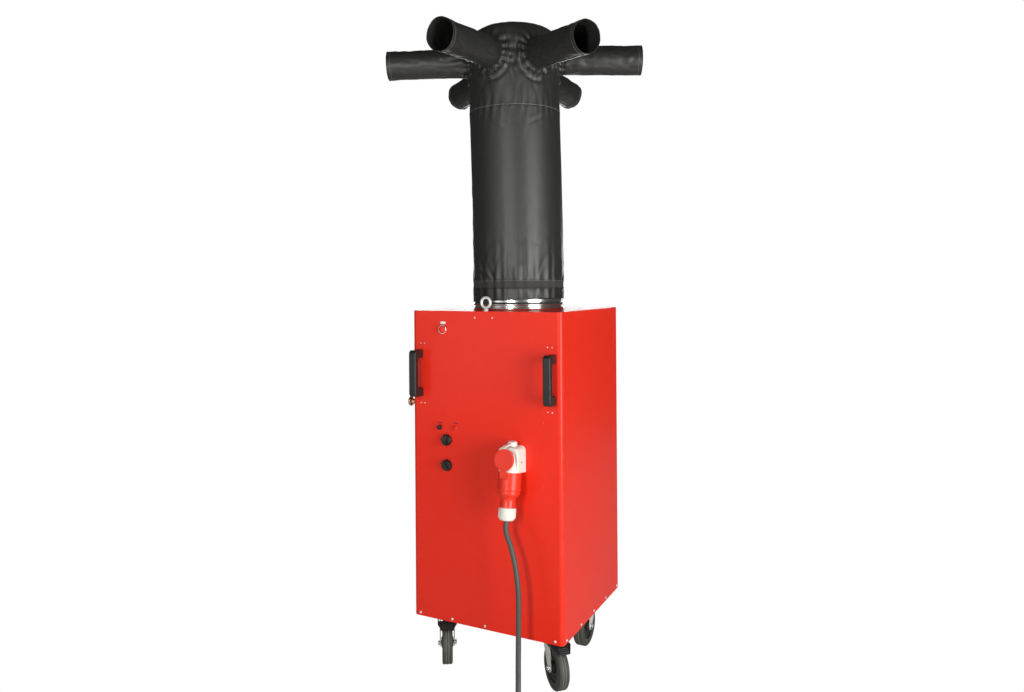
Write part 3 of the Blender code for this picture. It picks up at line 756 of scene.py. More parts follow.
# ---------------------------------------------------------------- cabinet
@dataclass
class Cabinet:
    """Painted sheet body, its lid, door, grille, screws and handles.

    Args:
        width: Across the front.
        depth: Front to back.
        skirt: Height of the lower edge above the floor.
        top: Height of the top.
        corner: Radius of the upright corners.
        sheet: Thickness of the sheet.
        gap: Play left between neighbouring sheets.
        door_hole: Corners of the box that cuts the door's opening.
        grille_hole: Corners of the box that cuts the grille's opening.
        spigot_hole: Radius of the round opening under the tube.
        latch_z: Height of the door's latch.
        handle_x: Distance of each handle from the middle.
        handle_z: Height of a handle's middle.
        handle_half: Half the height of its grip.
        handle_out: How far it stands out from the front.
    """

    width: float = 0.596
    depth: float = 0.572
    skirt: float = 0.178
    top: float = 1.298
    corner: float = 0.016
    sheet: float = 0.003
    gap: float = CLEARANCE
    door_hole: tuple[Point, Point] = ((-0.35, -0.258, 0.480), (-0.25, 0.215, 1.120))
    grille_hole: tuple[Point, Point] = ((-0.185, 0.236, 0.495), (0.185, 0.336, 0.865))
    spigot_hole: float = 0.160
    latch_z: float = 0.956
    handle_x: float = 0.265
    handle_z: float = 1.071
    handle_half: float = 0.085
    handle_out: float = 0.055

    @property
    def front(self) -> float:
        """Y of the front face."""
        return -self.depth / 2

    def shell(self) -> None:
        """The four-sided wrap with the door's and the grille's openings."""
        inner_w, inner_d = self.width - 2 * self.sheet, self.depth - 2 * self.sheet
        wrap = Shape.plate(rounded_rect(self.width, self.depth, self.corner), self.top - self.skirt)
        wrap.moved((0, 0, self.skirt))
        bore = Shape.plate(rounded_rect(inner_w, inner_d, self.corner - self.sheet), 1.3)
        wrap.without(bore.moved((0, 0, self.skirt - 0.05)), Shape.box(*self.door_hole),
                     Shape.box(*self.grille_hole))
        wrap.show("cabinet_shell", "cabinet", RED_PAINT, ["cabinet_wrap"], round_edges=0.0008)

    def lid(self) -> None:
        """The top panel, folded down all round, with a small roll at its edge."""
        w = self.width - 2 * self.sheet - 2 * self.gap
        d = self.depth - 2 * self.sheet - 2 * self.gap
        r = self.corner - self.sheet
        lid = Shape.plate(rounded_rect(w, d, r), 0.045).moved((0, 0, self.top - 0.045))
        under = Shape.plate(rounded_rect(w - 0.006, d - 0.006, r - self.sheet), 0.062)
        lid.without(under.moved((0, 0, self.top - self.sheet - 0.062)),
                    Shape.rod(self.spigot_hole, -0.1, 0.1, 96).moved((0, 0, self.top)))
        lid.show("lid_panel", "cabinet", RED_PAINT, ["top_panel"], round_edges=0.0010)

    def service_door(self) -> None:
        """The side door, its hinges, hinge screws and brass knob."""
        low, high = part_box("service_door")
        door = Shape.box(low, high)
        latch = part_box("door_latch")
        y, z = (latch[0][1] + latch[1][1]) / 2, self.latch_z
        hole = Shape.rod(0.0063, -0.03, 0.03, 32).moved((high[0], y, z), (0, math.pi / 2, 0))
        door.without(hole)
        door.show("door_panel", "door", RED_PAINT, ["service_door"], round_edges=0.0010)
        for label in ("upper", "lower"):
            node = f"door_hinge_{label}"
            low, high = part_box(node)
            pin_x = -0.2983 - 0.0060
            leaf = Shape.box((-0.3003, 0.2375, low[2]), (-0.2983, high[1], high[2]))
            leaf.with_(Shape.rod(0.0050, low[2], high[2], 32, 0.0006).moved((pin_x, 0.2395, 0)))
            leaf.show(f"hinge_{label}", "cabinet", GALVANISED, [node], round_edges=0.0004)
            for i, dz in enumerate((-0.024, 0.0, 0.024)):
                screw = pan_screw(0.0032, 0.0016)
                place = (-0.3003, 0.2560, (low[2] + high[2]) / 2 + dz)
                screw.moved(place, (0, -math.pi / 2, 0))
                screw.show(f"hinge_screw_{label}_{i}", "cabinet", SCREW)
        knob = Shape.turned([(0, 0.0033), (0.013, 0.0033), (0.0134, 0.0040), (0.013, 0.011)]
                            + arc(0.0135, 0.018, 0.0040, 240, 150, 6)
                            + [(0.0096, 0.025), (0.011, 0.0275)]
                            + arc(0.0125, 0.0355, 0.0055, -75, 80, 10)
                            + [(0.008, 0.0428), (0, 0.043)])
        knob.with_(Shape.rod(0.0058, -0.014, 0.006, 32),
                   Shape.box((-0.0235, -0.006, -0.0120), (0.008, 0.006, -0.0085)))
        knob.moved((-0.2983, y, z), (0, -math.pi / 2, 0))
        knob.show("door_knob", "latch", BRASS, ["door_latch"], round_edges=0.0004)

    def rear(self) -> None:
        """The intake grille with its screws, the filter behind it and the tray below."""
        Shape.of_node("intake_grille").show("rear_grille", "cabinet", GALVANISED, ["intake_grille"],
                                            round_edges=0.0006)
        low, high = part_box("intake_grille")
        spots = [(x, z) for x in (low[0] + 0.010, (low[0] + high[0]) / 2, high[0] - 0.010)
                 for z in (low[2] + 0.010, high[2] - 0.010)]
        for i, (x, z) in enumerate(spots):
            screw = pan_screw(0.0040, 0.0020).moved((x, high[1], z), (-math.pi / 2, 0, 0))
            screw.show(f"grille_screw_{i}", "cabinet", SCREW)
        low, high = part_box("filter_pad")
        pad = Shape.box(low, high)
        bmesh.ops.subdivide_edges(pad.bm, edges=pad.bm.edges[:], cuts=36, use_grid_fill=True)
        for vert in pad.bm.verts:
            vert.co.y += 0.0022 * noise.noise(vert.co * 55) * (1 if vert.co.y > 0.26 else -0.4)
        pad.show("filter_wool_pad", "cabinet", WOOL, ["filter_pad"])
        for node, name in (("base_tray", "floor_tray"), ("control_box", "inner_box")):
            Shape.of_node(node).show(name, "cabinet", GALVANISED, [node], round_edges=0.0006)

    def handles(self) -> None:
        """Two moulded bridge handles with chamfered ends."""
        half, out = self.handle_half, self.handle_out
        outer = [(0.0005, half), (out * 0.55, half)] + arc(out - 0.014, half - 0.014, 0.014, 70,
                                                           0, 8)
        lower = [(x, -z) for x, z in reversed(outer)]
        inner_x, inner_z = out - 0.020, half - 0.030
        inside = ([(0.0005, -inner_z)] + arc(inner_x - 0.010, -inner_z + 0.010, 0.010, -90, 0, 6)
                  + arc(inner_x - 0.010, inner_z - 0.010, 0.010, 0, 90, 6) + [(0.0005, inner_z)])
        turn = Matrix(((0, 0, 1), (-1, 0, 0), (0, 1, 0))).to_4x4()
        for label, x in (("left", -self.handle_x), ("right", self.handle_x)):
            bar = Shape.plate(outer + lower + inside, 0.028).moved((0, 0, -0.014)).by(turn)
            bar.moved((x, self.front, self.handle_z))
            bar.show(f"grip_{label}", "cabinet", BLACK_PLASTIC, [f"handle_{label}"],
                     round_edges=0.0035)

    def screws(self) -> None:
        """Screws at the top and along the skirt, handle screws and painted rivets."""
        square = math.pi / 2
        out, right = (square, 0, 0), (0, square, 0)
        back, left = (-square, 0, 0), (0, -square, 0)
        half, front, low = self.width / 2, self.front, self.skirt + 0.012
        across, deep = (-0.270, -0.136, -0.002, 0.133, 0.267), (-0.258, -0.125, 0.002, 0.131, 0.260)
        rows = (
            ("top_screw", [(x, front, 1.275) for x in (-0.035, 0.035)], out, 0.0030, SCREW),
            ("rivet", [(0.223, front, z) for z in (0.920, 0.812, 0.703)], out, 0.0042, RED_PAINT),
            ("skirt_screw", [(x, front, low) for x in across], out, 0.0048, SCREW),
            ("side_screw", [(half, y, low) for y in deep], right, 0.0048, SCREW),
            ("left_screw", [(-half, y, low) for y in deep], left, 0.0048, SCREW),
            ("rear_screw", [(x, -front, low) for x in across], back, 0.0048, SCREW),
            ("handle_screw", [(side * (0.254 + dx), front, z) for side in (-1, 1)
                              for dx in (-0.00825, 0.00825) for z in (1.179, 0.960)],
             out, 0.0022, SCREW))
        for name, places, turn, radius, look in rows:
            for i, place in enumerate(places):
                pan_screw(radius, radius * 0.5).moved(place, turn).show(f"{name}_{i}", "cabinet",
                                                                        look)

    def build(self) -> None:
        """Make the whole cabinet."""
        self.shell()
        self.lid()
        self.service_door()
        self.rear()
        self.handles()
        self.screws()


# ---------------------------------------------------------------- controls
@dataclass
class Controls:
    """Start button, fuse cap, pilot lamp and two knobs with their printed marks.

    Args:
        front: Y of the front face.
        top: Height of the cabinet's top.
        knob_x: Where both knobs are.
        knob_drops: How far each knob is below the top.
    """

    front: float = -0.286
    top: float = 1.298
    knob_x: float = -0.153
    knob_drops: tuple[float, float] = (0.465, 0.556)
    button: tuple[float, float] = (-0.166, 0.067)
    fuse: tuple[float, float] = (-0.181, 0.421)
    lamp: tuple[float, float] = (-0.117, 0.419)

    def push_button(self) -> None:
        """The bezel, the red button and the blank plate above it."""
        x, z = self.button[0], self.top - self.button[1]
        bezel = Shape.turned([(0.0128, 0.0003), (0.0168, 0.0003), (0.0168, 0.0040)]
                             + arc(0.0148, 0.0050, 0.0020, 0, 170, 8), 64, closed=True)
        bezel.front(x, z, self.front).show("chrome_bezel", "cabinet", CHROME, ["button_bezel"])
        cap = Shape.turned([(0, -0.003), (0.0120, -0.003), (0.0120, 0.0098)]
                           + arc(0.0098, 0.0100, 0.0022, 0, 80, 6) + [(0.004, 0.0133), (0, 0.0135)])
        cap.front(x, z, self.front).show("button_cap", "start_key", RED_PLASTIC, ["start_button"])
        plate = Shape.plate(rounded_rect(0.021, 0.009, 0.0012), 0.0006)
        plate.front(x, z + 0.024, self.front).show("blank_plate", "cabinet", LABEL,
                                                   round_edges=0.0002)

    def fuse_and_lamp(self) -> None:
        """The slotted fuse cap, the lamp and a blank strip above each."""
        cap = Shape.turned([(0, -0.010), (0.0045, -0.010), (0.0045, 0.0003), (0.0085, 0.0003),
                            (0.0085, 0.0085), (0.0078, 0.0104), (0.0065, 0.011), (0, 0.011)], 48)
        cap.without(Shape.box((-0.0055, -0.0008, 0.0088), (0.0055, 0.0008, 0.02)))
        x, z = self.fuse[0], self.top - self.fuse[1]
        cap.front(x, z, self.front).show("fuse_holder_cap", "fuse", BLACK_PLASTIC, ["fuse_cap"],
                                         round_edges=0.0003)
        lens = Shape.turned([(0, -0.010), (0.0045, -0.010), (0.0045, 0.0003), (0.0080, 0.0003),
                             (0.0080, 0.0028), (0.0068, 0.0032)]
                            + [(0.0062 * math.cos(a), 0.0032 + 0.0048 * math.sin(a))
                               for a in (0.1, 0.4, 0.7, 1.0, 1.3)] + [(0, 0.0080)], 48)
        lx, lz = self.lamp[0], self.top - self.lamp[1]
        lens.front(lx, lz, self.front).show("lamp_lens", "cabinet", LENS, ["pilot_lamp"])
        for name, sx, sz in (("fuse", x, z), ("lamp", lx, lz)):
            strip = Shape.plate(rounded_rect(0.020, 0.0035, 0.0008), 0.0003)
            strip.front(sx, sz + 0.0165, self.front).show(f"strip_{name}", "cabinet", INK)

    def knobs(self) -> None:
        """A double-ridged knob above and a pointer knob below, with their marks."""
        for index, (node, body) in enumerate((("thermostat_knob", "thermostat"),
                                              ("timer_knob", "timer"))):
            z = self.top - self.knob_drops[index]
            knob = Shape.turned([(0, -0.016), (0.0032, -0.016), (0.0032, 0.0012), (0.0205, 0.0012),
                                 (0.0210, 0.0020), (0.0208, 0.0058), (0.0198, 0.0072),
                                 (0.0176, 0.0120), (0.0166, 0.0130), (0, 0.0130)], 72)
            if index == 0:
                for x in (-0.0062, 0.0062):
                    knob.with_(Shape.box((x - 0.0013, -0.0165, 0.0110),
                                         (x + 0.0013, 0.0165, 0.0205)))
                knob.with_(Shape.box((-0.0055, -0.0160, 0.0110), (0.0055, 0.0160, 0.0180)))
            else:
                grip = Shape.box((-0.0040, -0.0175, 0.0110), (0.0040, 0.0175, 0.0210))
                nub = Shape.rod(0.0032, 0.0060, 0.0125, 24, 0.0008).moved((0, 0.0180, 0))
                knob.with_(grip.with_(nub).moved(turn=(0, 0, math.radians(42))))
            knob.front(self.knob_x, z, self.front)
            knob.show(f"{body}_dial", body, BLACK_PLASTIC, [node], round_edges=0.0006)
            marks = (90, 180, 0, 270) if index == 0 else (58, 12, 172, 232)
            for i, angle in enumerate(marks):
                a = math.radians(angle)
                mark = Shape.plate(rounded_rect(0.0052, 0.0022, 0.0006), 0.0003)
                mark.moved((0.0272 * math.cos(a), 0.0272 * math.sin(a), 0), (0, 0, a + math.pi / 2))
                mark.front(self.knob_x, z, self.front).show(f"{body}_mark_{i}", "cabinet", INK)
        dot = Shape.rod(0.0013, 0.0072, 0.0078, 20).moved((0, -0.0182, 0))
        dot.front(self.knob_x, self.top - self.knob_drops[0], self.front)
        dot.show("thermostat_dot", "thermostat", DOT)

    def build(self) -> None:
        """Make every control."""
        self.push_button()
        self.fuse_and_lamp()
        self.knobs()


# ---------------------------------------------------------------- air path
@dataclass
class AirPath:
    """Lifting eyes, the steel collar and the finishes of what is inside."""

    top: float = 1.298
    eye_y: float = 0.266
    spigot: float = 0.168
    spigot_top: float = 1.408

    def eyes(self) -> None:
        """Cast ring eyes on turned feet."""
        for label, y in (("front", -self.eye_y), ("rear", self.eye_y)):
            loop = Shape.torus(0.0178, 0.0052, 72, 18).moved((0, y, self.top + 0.030),
                                                             (math.pi / 2, 0, 0))
            foot = Shape.turned([(0, 0.0003), (0.0095, 0.0003), (0.0095, 0.0035), (0.0075, 0.0060),
                                 (0.0060, 0.0105), (0, 0.0105)], 32)
            loop.with_(foot.moved((0, y, self.top)))
            loop.show(f"ring_eye_{label}", "cabinet", GALVANISED, [f"lifting_eye_{label}"])

    def collar(self) -> None:
        """The drawn spigot with two beads round its foot."""
        base, wall = self.top + 0.0003, self.spigot - 0.003
        beads = ([(wall, base), (0.1735, base)] + arc(0.1715, base + 0.0052, 0.0046, -60, 78, 8)
                 + [(0.1698, base + 0.0125)] + arc(0.1712, base + 0.0200, 0.0044, -70, 75, 8)
                 + [(0.1690, base + 0.0262), (self.spigot, base + 0.0285),
                    (self.spigot, self.spigot_top),
                    (wall, self.spigot_top)])
        Shape.turned(beads, 160, closed=True).show("steel_collar", "cabinet", STEEL,
                                                   ["spigot_collar"])

    def inside(self) -> None:
        """Finishes of the fan, motor, heater, duct and bracket."""
        for node, look in (("air_duct", GALVANISED), ("motor_bracket", GALVANISED),
                           ("fan_impeller", GALVANISED), ("fan_motor", STEEL),
                           ("heater_element", STEEL)):
            paint(node, look)

    def build(self) -> None:
        """Make the air path."""
        self.eyes()
        self.collar()
        self.inside()


# ---------------------------------------------------------------- castors
@dataclass
class Castor:
    """One swivel castor with its plate, race, fork, wheel and, in front, its brake pedal.

    Args:
        label: Which corner.
        x: Of the swivel.
        y: Of the swivel.
        heading: Where the wheel trails to, in degrees.
        brake: Whether it carries a pedal.
    """

    label: str
    x: float
    y: float
    heading: float
    brake: bool = False
    trail: float = 0.045
    radius: float = 0.075
    flat: float = 0.1897

    def local(self) -> Matrix:
        """From the castor's own frame, X trailing and Y across, to the whole."""
        return Matrix.Translation((self.x, self.y, 0)) @ Matrix.Rotation(
            math.radians(self.heading), 4, "Z")

    def wheel_frame(self) -> Matrix:
        """From a shape turned on Z to the wheel's axle."""
        return self.local() @ Matrix.Translation((self.trail, 0, self.radius)) @ Matrix.Rotation(
            math.pi / 2, 4, "X")

    def plate(self) -> None:
        """The bolted top plate with its ball race, bolts and dust ring."""
        flat = self.flat
        plate = Shape.plate(rounded_rect(0.100, 0.085, 0.006), 0.004).moved((0, 0, flat - 0.004))
        race = Shape.turned([(0, flat - 0.0175), (0.026, flat - 0.0175), (0.0292, flat - 0.0160),
                             (0.0300, flat - 0.0120), (0.0286, flat - 0.0095),
                             (0.0300, flat - 0.0070),
                             (0.0270, flat - 0.0040), (0, flat - 0.0040)], 64)
        plate.with_(race).moved((self.x, self.y, 0))
        plate.show(f"plate_{self.label}", "cabinet", GALVANISED, [f"castor_plate_{self.label}"],
                   round_edges=0.0006)
        for i, (dx, dy) in enumerate(((-0.040, -0.032), (0.040, -0.032), (0.040, 0.032),
                                      (-0.040, 0.032))):
            bolt = hexagon(0.012, 0.005).moved((self.x + dx, self.y + dy, flat - 0.009))
            bolt.show(f"plate_bolt_{self.label}_{i}", "cabinet", SCREW, round_edges=0.0006)

    def fork(self) -> None:
        """Pressed zinc fork with two tapering legs and a rounded crown."""
        top, low = self.flat - 0.0178, 0.1600
        leg = [(-0.028, top), (-0.0285, low + 0.004), (-0.022, low - 0.006), (-0.006, low - 0.016)]
        leg += arc(self.trail, self.radius, 0.014, 192, 370, 18)
        leg += [(0.0535, 0.118), (0.0475, low - 0.014), (0.042, low), (0.040, top)]
        fork = Shape.plate(leg, 0.004).moved((0, -0.0240, 0), (math.pi / 2, 0, 0))
        fork.with_(Shape.plate(leg, 0.004).moved((0, 0.0280, 0), (math.pi / 2, 0, 0)))
        crown = Shape.plate(rounded_rect(0.068, 0.055, 0.010), top - low).moved((0.006, 0, low))
        fork.with_(crown)
        fork.by(self.local())
        fork.show(f"fork_{self.label}", f"swivel_{self.label}", GALVANISED,
                  [f"castor_fork_{self.label}"], round_edges=0.0012)

    def wheel(self) -> None:
        """Grooved tyre, dished hub and the axle with its hexagon ends."""
        r, half = self.radius, 0.019
        side = [(0.0500, half - 0.0005), (0.0560, half), (0.0575, half - 0.0012), (0.0590, half),
                (0.0640, half), (0.0654, half - 0.0012), (0.0668, half - 0.0002)]
        shoulder = [(r - 0.007 + 0.007 * math.sin(math.radians(a)),
                     half - 0.007 + 0.0068 * math.cos(math.radians(a)))
                    for a in (15, 35, 55, 75, 90)]
        tread = [(r - 0.0014, 0.0060), (r - 0.0016, 0.0045), (r, 0.0030)]
        upper = side + shoulder + tread
        tyre = [(q, -z) for q, z in upper] + list(reversed(upper))
        Shape.turned(tyre, 96, closed=True).by(self.wheel_frame()).show(
            f"tyre_{self.label}", f"wheel_{self.label}", RUBBER, [f"castor_wheel_{self.label}"])
        for i, z in enumerate((-0.0045, 0.0045)):
            line = Shape.torus(r - 0.0016, 0.0011, 72, 8).moved((0, 0, z))
            line.by(self.wheel_frame()).show(f"groove_{self.label}_{i}", f"wheel_{self.label}",
                                             DUST)
        hub = [(0.0066, 0.0225), (0.0145, 0.0225), (0.0160, 0.0215), (0.0195, 0.0200),
               (0.0210, 0.0130),
               (0.0300, 0.0110), (0.0310, 0.0122), (0.0330, 0.0122), (0.0340, 0.0112),
               (0.0440, 0.0128),
               (0.0470, 0.0165), (0.0500, 0.0178)]
        ring = [(q, -z) for q, z in hub] + list(reversed(hub))
        Shape.turned(ring, 72, closed=True).by(self.wheel_frame()).show(
            f"hub_{self.label}", f"wheel_{self.label}", HUB)
        axle = Shape.rod(0.0060, -0.0290, 0.0290, 32)
        for z in (0.0283, -0.0345):
            axle.with_(hexagon(0.0165, 0.0062).moved((0, 0, z)))
        for z in (0.0281, -0.0293):
            axle.with_(Shape.rod(0.0095, z, z + 0.0012, 32))
        axle.by(self.wheel_frame())
        axle.show(f"axle_{self.label}", f"swivel_{self.label}", STEEL,
                  [f"castor_axle_{self.label}"],
                  round_edges=0.0006)

    def pedal(self) -> None:
        """The brake pedal: a ribbed tread plate on two side arms."""
        outline = [(0.076, 0.1585), (0.098, 0.1530), (0.114, 0.1450), (0.1165, 0.1490),
                   (0.102, 0.1595),
                   (0.080, 0.1667), (0.076, 0.1667)]
        pedal = Shape.plate(outline, 0.070).moved((0, 0.035, 0), (math.pi / 2, 0, 0))
        for y in (0.0310, -0.0350):
            pedal.with_(Shape.box((-0.008, y, 0.156), (0.0785, y + 0.004, 0.166)))
        for side in (1, -1):
            corner = Shape.box((0.0, 0.0, 0.1), (0.06, 0.06, 0.2)).moved((0.086, side * 0.0352, 0),
                                                                       (0, 0, math.radians(-45 + 19 * side)))
            pedal.without(corner)
        for i in range(3):
            x = 0.0985 + 0.0055 * i
            z = 0.1610 - (x - 0.0990) * 0.70
            pedal.with_(Shape.box((x, -0.018, z - 0.002), (x + 0.0022, 0.018, z + 0.0010)))
        pedal.by(self.local())
        pedal.show(f"pedal_{self.label}", f"brake_{self.label}", BLACK_PLASTIC,
                   [f"brake_pedal_{self.label}"], round_edges=0.0010)

    def build(self) -> None:
        """Make the castor."""
        self.plate()
        self.fork()
        self.wheel()
        if self.brake:
            self.pedal()


# ---------------------------------------------------------------- sleeve
@dataclass
class Sleeve:
    """The blown-up cloth sleeve: a tube, a domed crown and six open arms, with seams and strap.

    Args:
        tube: Radius of the tube.
        crown: Radius of the crown.
        foot: Height of the tube's lower edge.
        seam: Height of the seam between tube and crown.
        top: Height of the dome.
        arm: Radius of an arm.
        root_z: Height at which the arms' axes meet.
        arms: Azimuth and droop of each arm, in degrees.
        reach: How far the arms' mouths are from the axis.
        root: Where an arm is sewn to the crown, along its own axis.
        voxel: Size of the skin's quads.
        strap: Lowest and highest point of the strap.
    """

    tube: float = 0.1735
    crown: float = 0.1725
    foot: float = 1.331
    seam: float = 2.047
    top: float = 2.376
    arm: float = 0.056
    root_z: float = 2.252
    reach: float = 0.486
    root: float = 0.180
    voxel: float = 0.0066
    strap: tuple[float, float] = (1.378, 1.405)
    arms: tuple[tuple[float, float], ...] = ((-94.0, 3.5), (-34.0, 5.0), (26.0, 0.5), (86.0, 4.0),
                                             (146.0, 4.0), (206.0, 2.0))
    lean: float = 0.012
    tree: object = field(default=None, repr=False)

    def direction(self, index: int) -> Vector:
        """Unit vector along an arm."""
        a, down = (math.radians(angle) for angle in self.arms[index])
        return Vector((math.cos(a) * math.cos(down), math.sin(a) * math.cos(down), -math.sin(down)))

    def arm_place(self, point: Vector) -> tuple[int, float, float, float]:
        """Where a point lies by its nearest arm.

        Args:
            point: In metres.

        Returns:
            The arm's index, the distance along it, the distance from its axis and the angle
            round it, measured from straight up.
        """
        flat_angle = math.degrees(math.atan2(point.y, point.x))
        index = min(range(6), key=lambda i: abs((flat_angle - self.arms[i][0] + 180) % 360 - 180))
        along = self.direction(index)
        rel = point - Vector((0, 0, self.root_z))
        t = rel.dot(along)
        off = rel - along * t
        side = along.cross(Vector((0, 0, 1))).normalized()
        return index, t, off.length, math.atan2(off.dot(side), off.dot(side.cross(along)))

    def closed_skin(self) -> bpy.types.Object:
        """One closed skin over tube, dome and arms, in even quads.

        Returns:
            The skin's object.
        """
        low = self.foot - 0.04
        profile = [(0, low), (self.tube, low), (self.tube, self.seam - 0.006),
                   (self.crown, self.seam + 0.004), (self.crown, 2.296), (0.1670, 2.328),
                   (0.1560, 2.346), (0.1350, 2.359), (0.1000, 2.368), (0.0500, 2.374),
                   (0, self.top)]
        body = Shape.turned(profile, 96)
        for index in range(6):
            arm = Shape.turned([(0, 0.04), (self.arm, 0.04), (self.arm, self.reach + 0.03),
                                (0, self.reach + 0.03)], 48)
            body.with_(arm.along((0, 0, self.root_z), self.direction(index)))
        mesh = bpy.data.meshes.new("skin")
        body.bm.to_mesh(mesh)
        body.bm.free()
        obj = bpy.data.objects.new("skin", mesh)
        bpy.context.collection.objects.link(obj)
        grid = obj.modifiers.new("even_quads", "REMESH")
        grid.mode, grid.voxel_size = "VOXEL", self.voxel
        even = bpy.data.meshes.new_from_object(obj.evaluated_get(bpy.context.evaluated_depsgraph_get()))
        obj.modifiers.clear()
        obj.data = even
        bpy.data.meshes.remove(mesh)
        return obj

    def wrinkle(self, point: Vector) -> float:
        """How far the cloth stands proud of the plain form at a point.

        Args:
            point: On the plain skin, in metres.

        Returns:
            The height in metres.
        """
        around = math.atan2(point.y, point.x)
        radius = math.hypot(point.x, point.y)
        index, t, off, turn = self.arm_place(point)
        seed = Vector((index * 3.1, index * 1.7, 0))
        # The blown-up tube is taut in its middle and creased only near its two ends.
        taut = min(ease((point.z - self.strap[1] - 0.05) / 0.16),
                   ease((self.seam + 0.06 - point.z) / 0.16))
        loose = 1 - 0.86 * taut
        height = (0.0014 + 0.0008 * loose) * noise.noise(point * 4.0)
        height += 0.0008 * loose * noise.noise(point * 24.0 + seed)
        ridge = 1 - abs(noise.noise(Vector((around * 3.0, point.z * 9.0, 4.0)))) * 4
        height -= 0.0018 * loose * max(0.0, ridge) ** 2
        if t > self.root + 0.012 and off < self.arm * 1.35:            # on an arm
            gather = math.exp(-(t - self.root) / 0.045)
            height += 0.0042 * gather * math.sin(9 * turn + 5 * noise.noise(seed + point * 12))
            height += 0.0014 * noise.noise(Vector((turn * 2.2, t * 38.0, index * 5.0)))
            height -= 0.0016 * max(0.0, 1 - abs(noise.noise(Vector((turn * 1.4, t * 14,
                                                                    index * 9.0)))) * 5)
            height += 0.0009 * math.exp(-((t - self.reach + 0.007) / 0.009) ** 2)
            return height
        ring = abs(off - self.arm)
        near = math.exp(-(ring / 0.030) ** 2) if radius > 0.12 else 0.0
        height += 0.0034 * near * math.sin(15 * turn + 4 * noise.noise(point * 14 + seed))
        if radius > 0.14 and math.cos(turn) < 0.45:                      # the swag under an arm
            swag = math.hypot(off * math.sin(turn) / SWAG[0], off * math.cos(turn) / SWAG[1])
            height += 0.0050 * math.exp(-((swag - 0.96) / 0.085) ** 2)
            height -= 0.0034 * math.exp(-((swag - 1.16) / 0.080) ** 2)
        height -= 0.0022 * math.exp(-(ring / 0.007) ** 2) * (radius > 0.12)
        # Between two arms the cloth is drawn up into upright folds.
        past = math.degrees(around) - self.arms[0][0] - 30
        between = abs(past - 60 * round(past / 60))
        band = math.exp(-((point.z - 2.235) / 0.060) ** 2) * math.exp(-(between / 13) ** 2)
        height += 0.0046 * band * math.sin(around * 48 + 5 * noise.noise(point * 18))
        # The crown's seam and the strap both gather the tube into upright pleats.
        crown_pleat = math.exp(-abs(point.z - self.seam) / 0.035)
        height += 0.0015 * crown_pleat * math.sin(around * 34 + 5 * noise.noise(point * 6))
        middle_z = (self.strap[0] + self.strap[1]) / 2
        strap_gap = abs(point.z - middle_z)
        if point.z < self.seam - 0.1:
            pleat = math.exp(-max(0.0, strap_gap - 0.014) / 0.075)
            height += 0.0024 * pleat * math.sin(around * 26
                                                + 5 * noise.noise(Vector((around * 2, 0, 1))))
            height -= 0.0030 * math.exp(-(strap_gap / 0.016) ** 4)
        return height

    def creases(self, point: Vector) -> float:
        """Long slanting creases of the tube, sunk below the plain form."""
        if not self.strap[1] < point.z < self.seam:
            return 0.0
        across = math.atan2(point.y, point.x) * self.tube
        depth = 0.0
        for start, height, slope, length, sink in CREASES:
            dx = (across - start
                  + math.pi * self.tube) % (FULL_TURN * self.tube) - math.pi * self.tube
            dz = point.z - height
            along = dx * math.cos(slope) + dz * math.sin(slope)
            off = -dx * math.sin(slope) + dz * math.cos(slope) + 0.006 * math.sin(along * 25)
            fade = max(0.0, 1 - (along / length) ** 2)
            depth += sink * fade * (0.6 * math.exp(-((off - 0.011) / 0.008) ** 2)
                                    - math.exp(-(off / 0.0055) ** 2))
        return depth

    def leaning(self, point: Vector) -> Vector:
        """The point after the filled sleeve leans a little to its left."""
        rise = ease((point.z - 1.42) / 0.80)
        return point + Vector((-self.lean * 0.9, -self.lean * 0.45, 0)) * rise

    def dressed_skin(self) -> bpy.types.Object:
        """The skin cut open at its foot and mouths, seams cut in, wrinkled and leaning.

        Returns:
            The skin's object.
        """
        obj = self.closed_skin()
        bm = bmesh.new()
        bm.from_mesh(obj.data)
        for _ in range(4):
            bmesh.ops.smooth_vert(bm, verts=bm.verts, factor=0.5, use_axis_x=True, use_axis_y=True,
                                  use_axis_z=True)
        centre = Vector((0, 0, self.root_z))
        for index in range(6):
            along = self.direction(index)
            for distance, opened in ((self.reach, True), (self.root, False)):
                spot = centre + along * distance
                near = [v for v in bm.verts if (v.co - spot).length < 0.12
                        and (v.co - centre - along * (v.co - centre).dot(along)).length < 0.075]
                chosen = set(near)
                edges = [e for e in bm.edges if e.verts[0] in chosen and e.verts[1] in chosen]
                faces = [f for f in bm.faces if all(v in chosen for v in f.verts)]
                bmesh.ops.bisect_plane(bm, geom=near + edges + faces, plane_co=spot, plane_no=along,
                                       dist=1e-6, clear_outer=opened)
        for height, tilt, opened in ((self.foot, Vector((0.040, -0.010, -1)), True),
                                     (self.seam, Vector((0, 0, 1)), False)):
            geom = bm.verts[:] + bm.edges[:] + bm.faces[:]
            bmesh.ops.bisect_plane(bm, geom=geom, plane_co=(0, 0, height), plane_no=tilt, dist=1e-6,
                                   clear_outer=opened)
        bm.normal_update()
        moves = [v.normal * (self.wrinkle(v.co) + self.creases(v.co)) for v in bm.verts]
        for vert, move in zip(bm.verts, moves):
            vert.co = self.leaning(vert.co + move)
        bm.to_mesh(obj.data)
        bm.free()
        return obj

    def region(self, point: Vector) -> int:
        """0 for the tube, 1 for the crown and 2 to 7 for the arms."""
        plain = point - (self.leaning(point) - point)
        if plain.z < self.seam:
            return 0
        index, t, off, _ = self.arm_place(plain)
        return 2 + index if t > self.root and off < self.arm * 1.4 and \
            math.hypot(plain.x, plain.y) > self.crown + 0.002 else 1

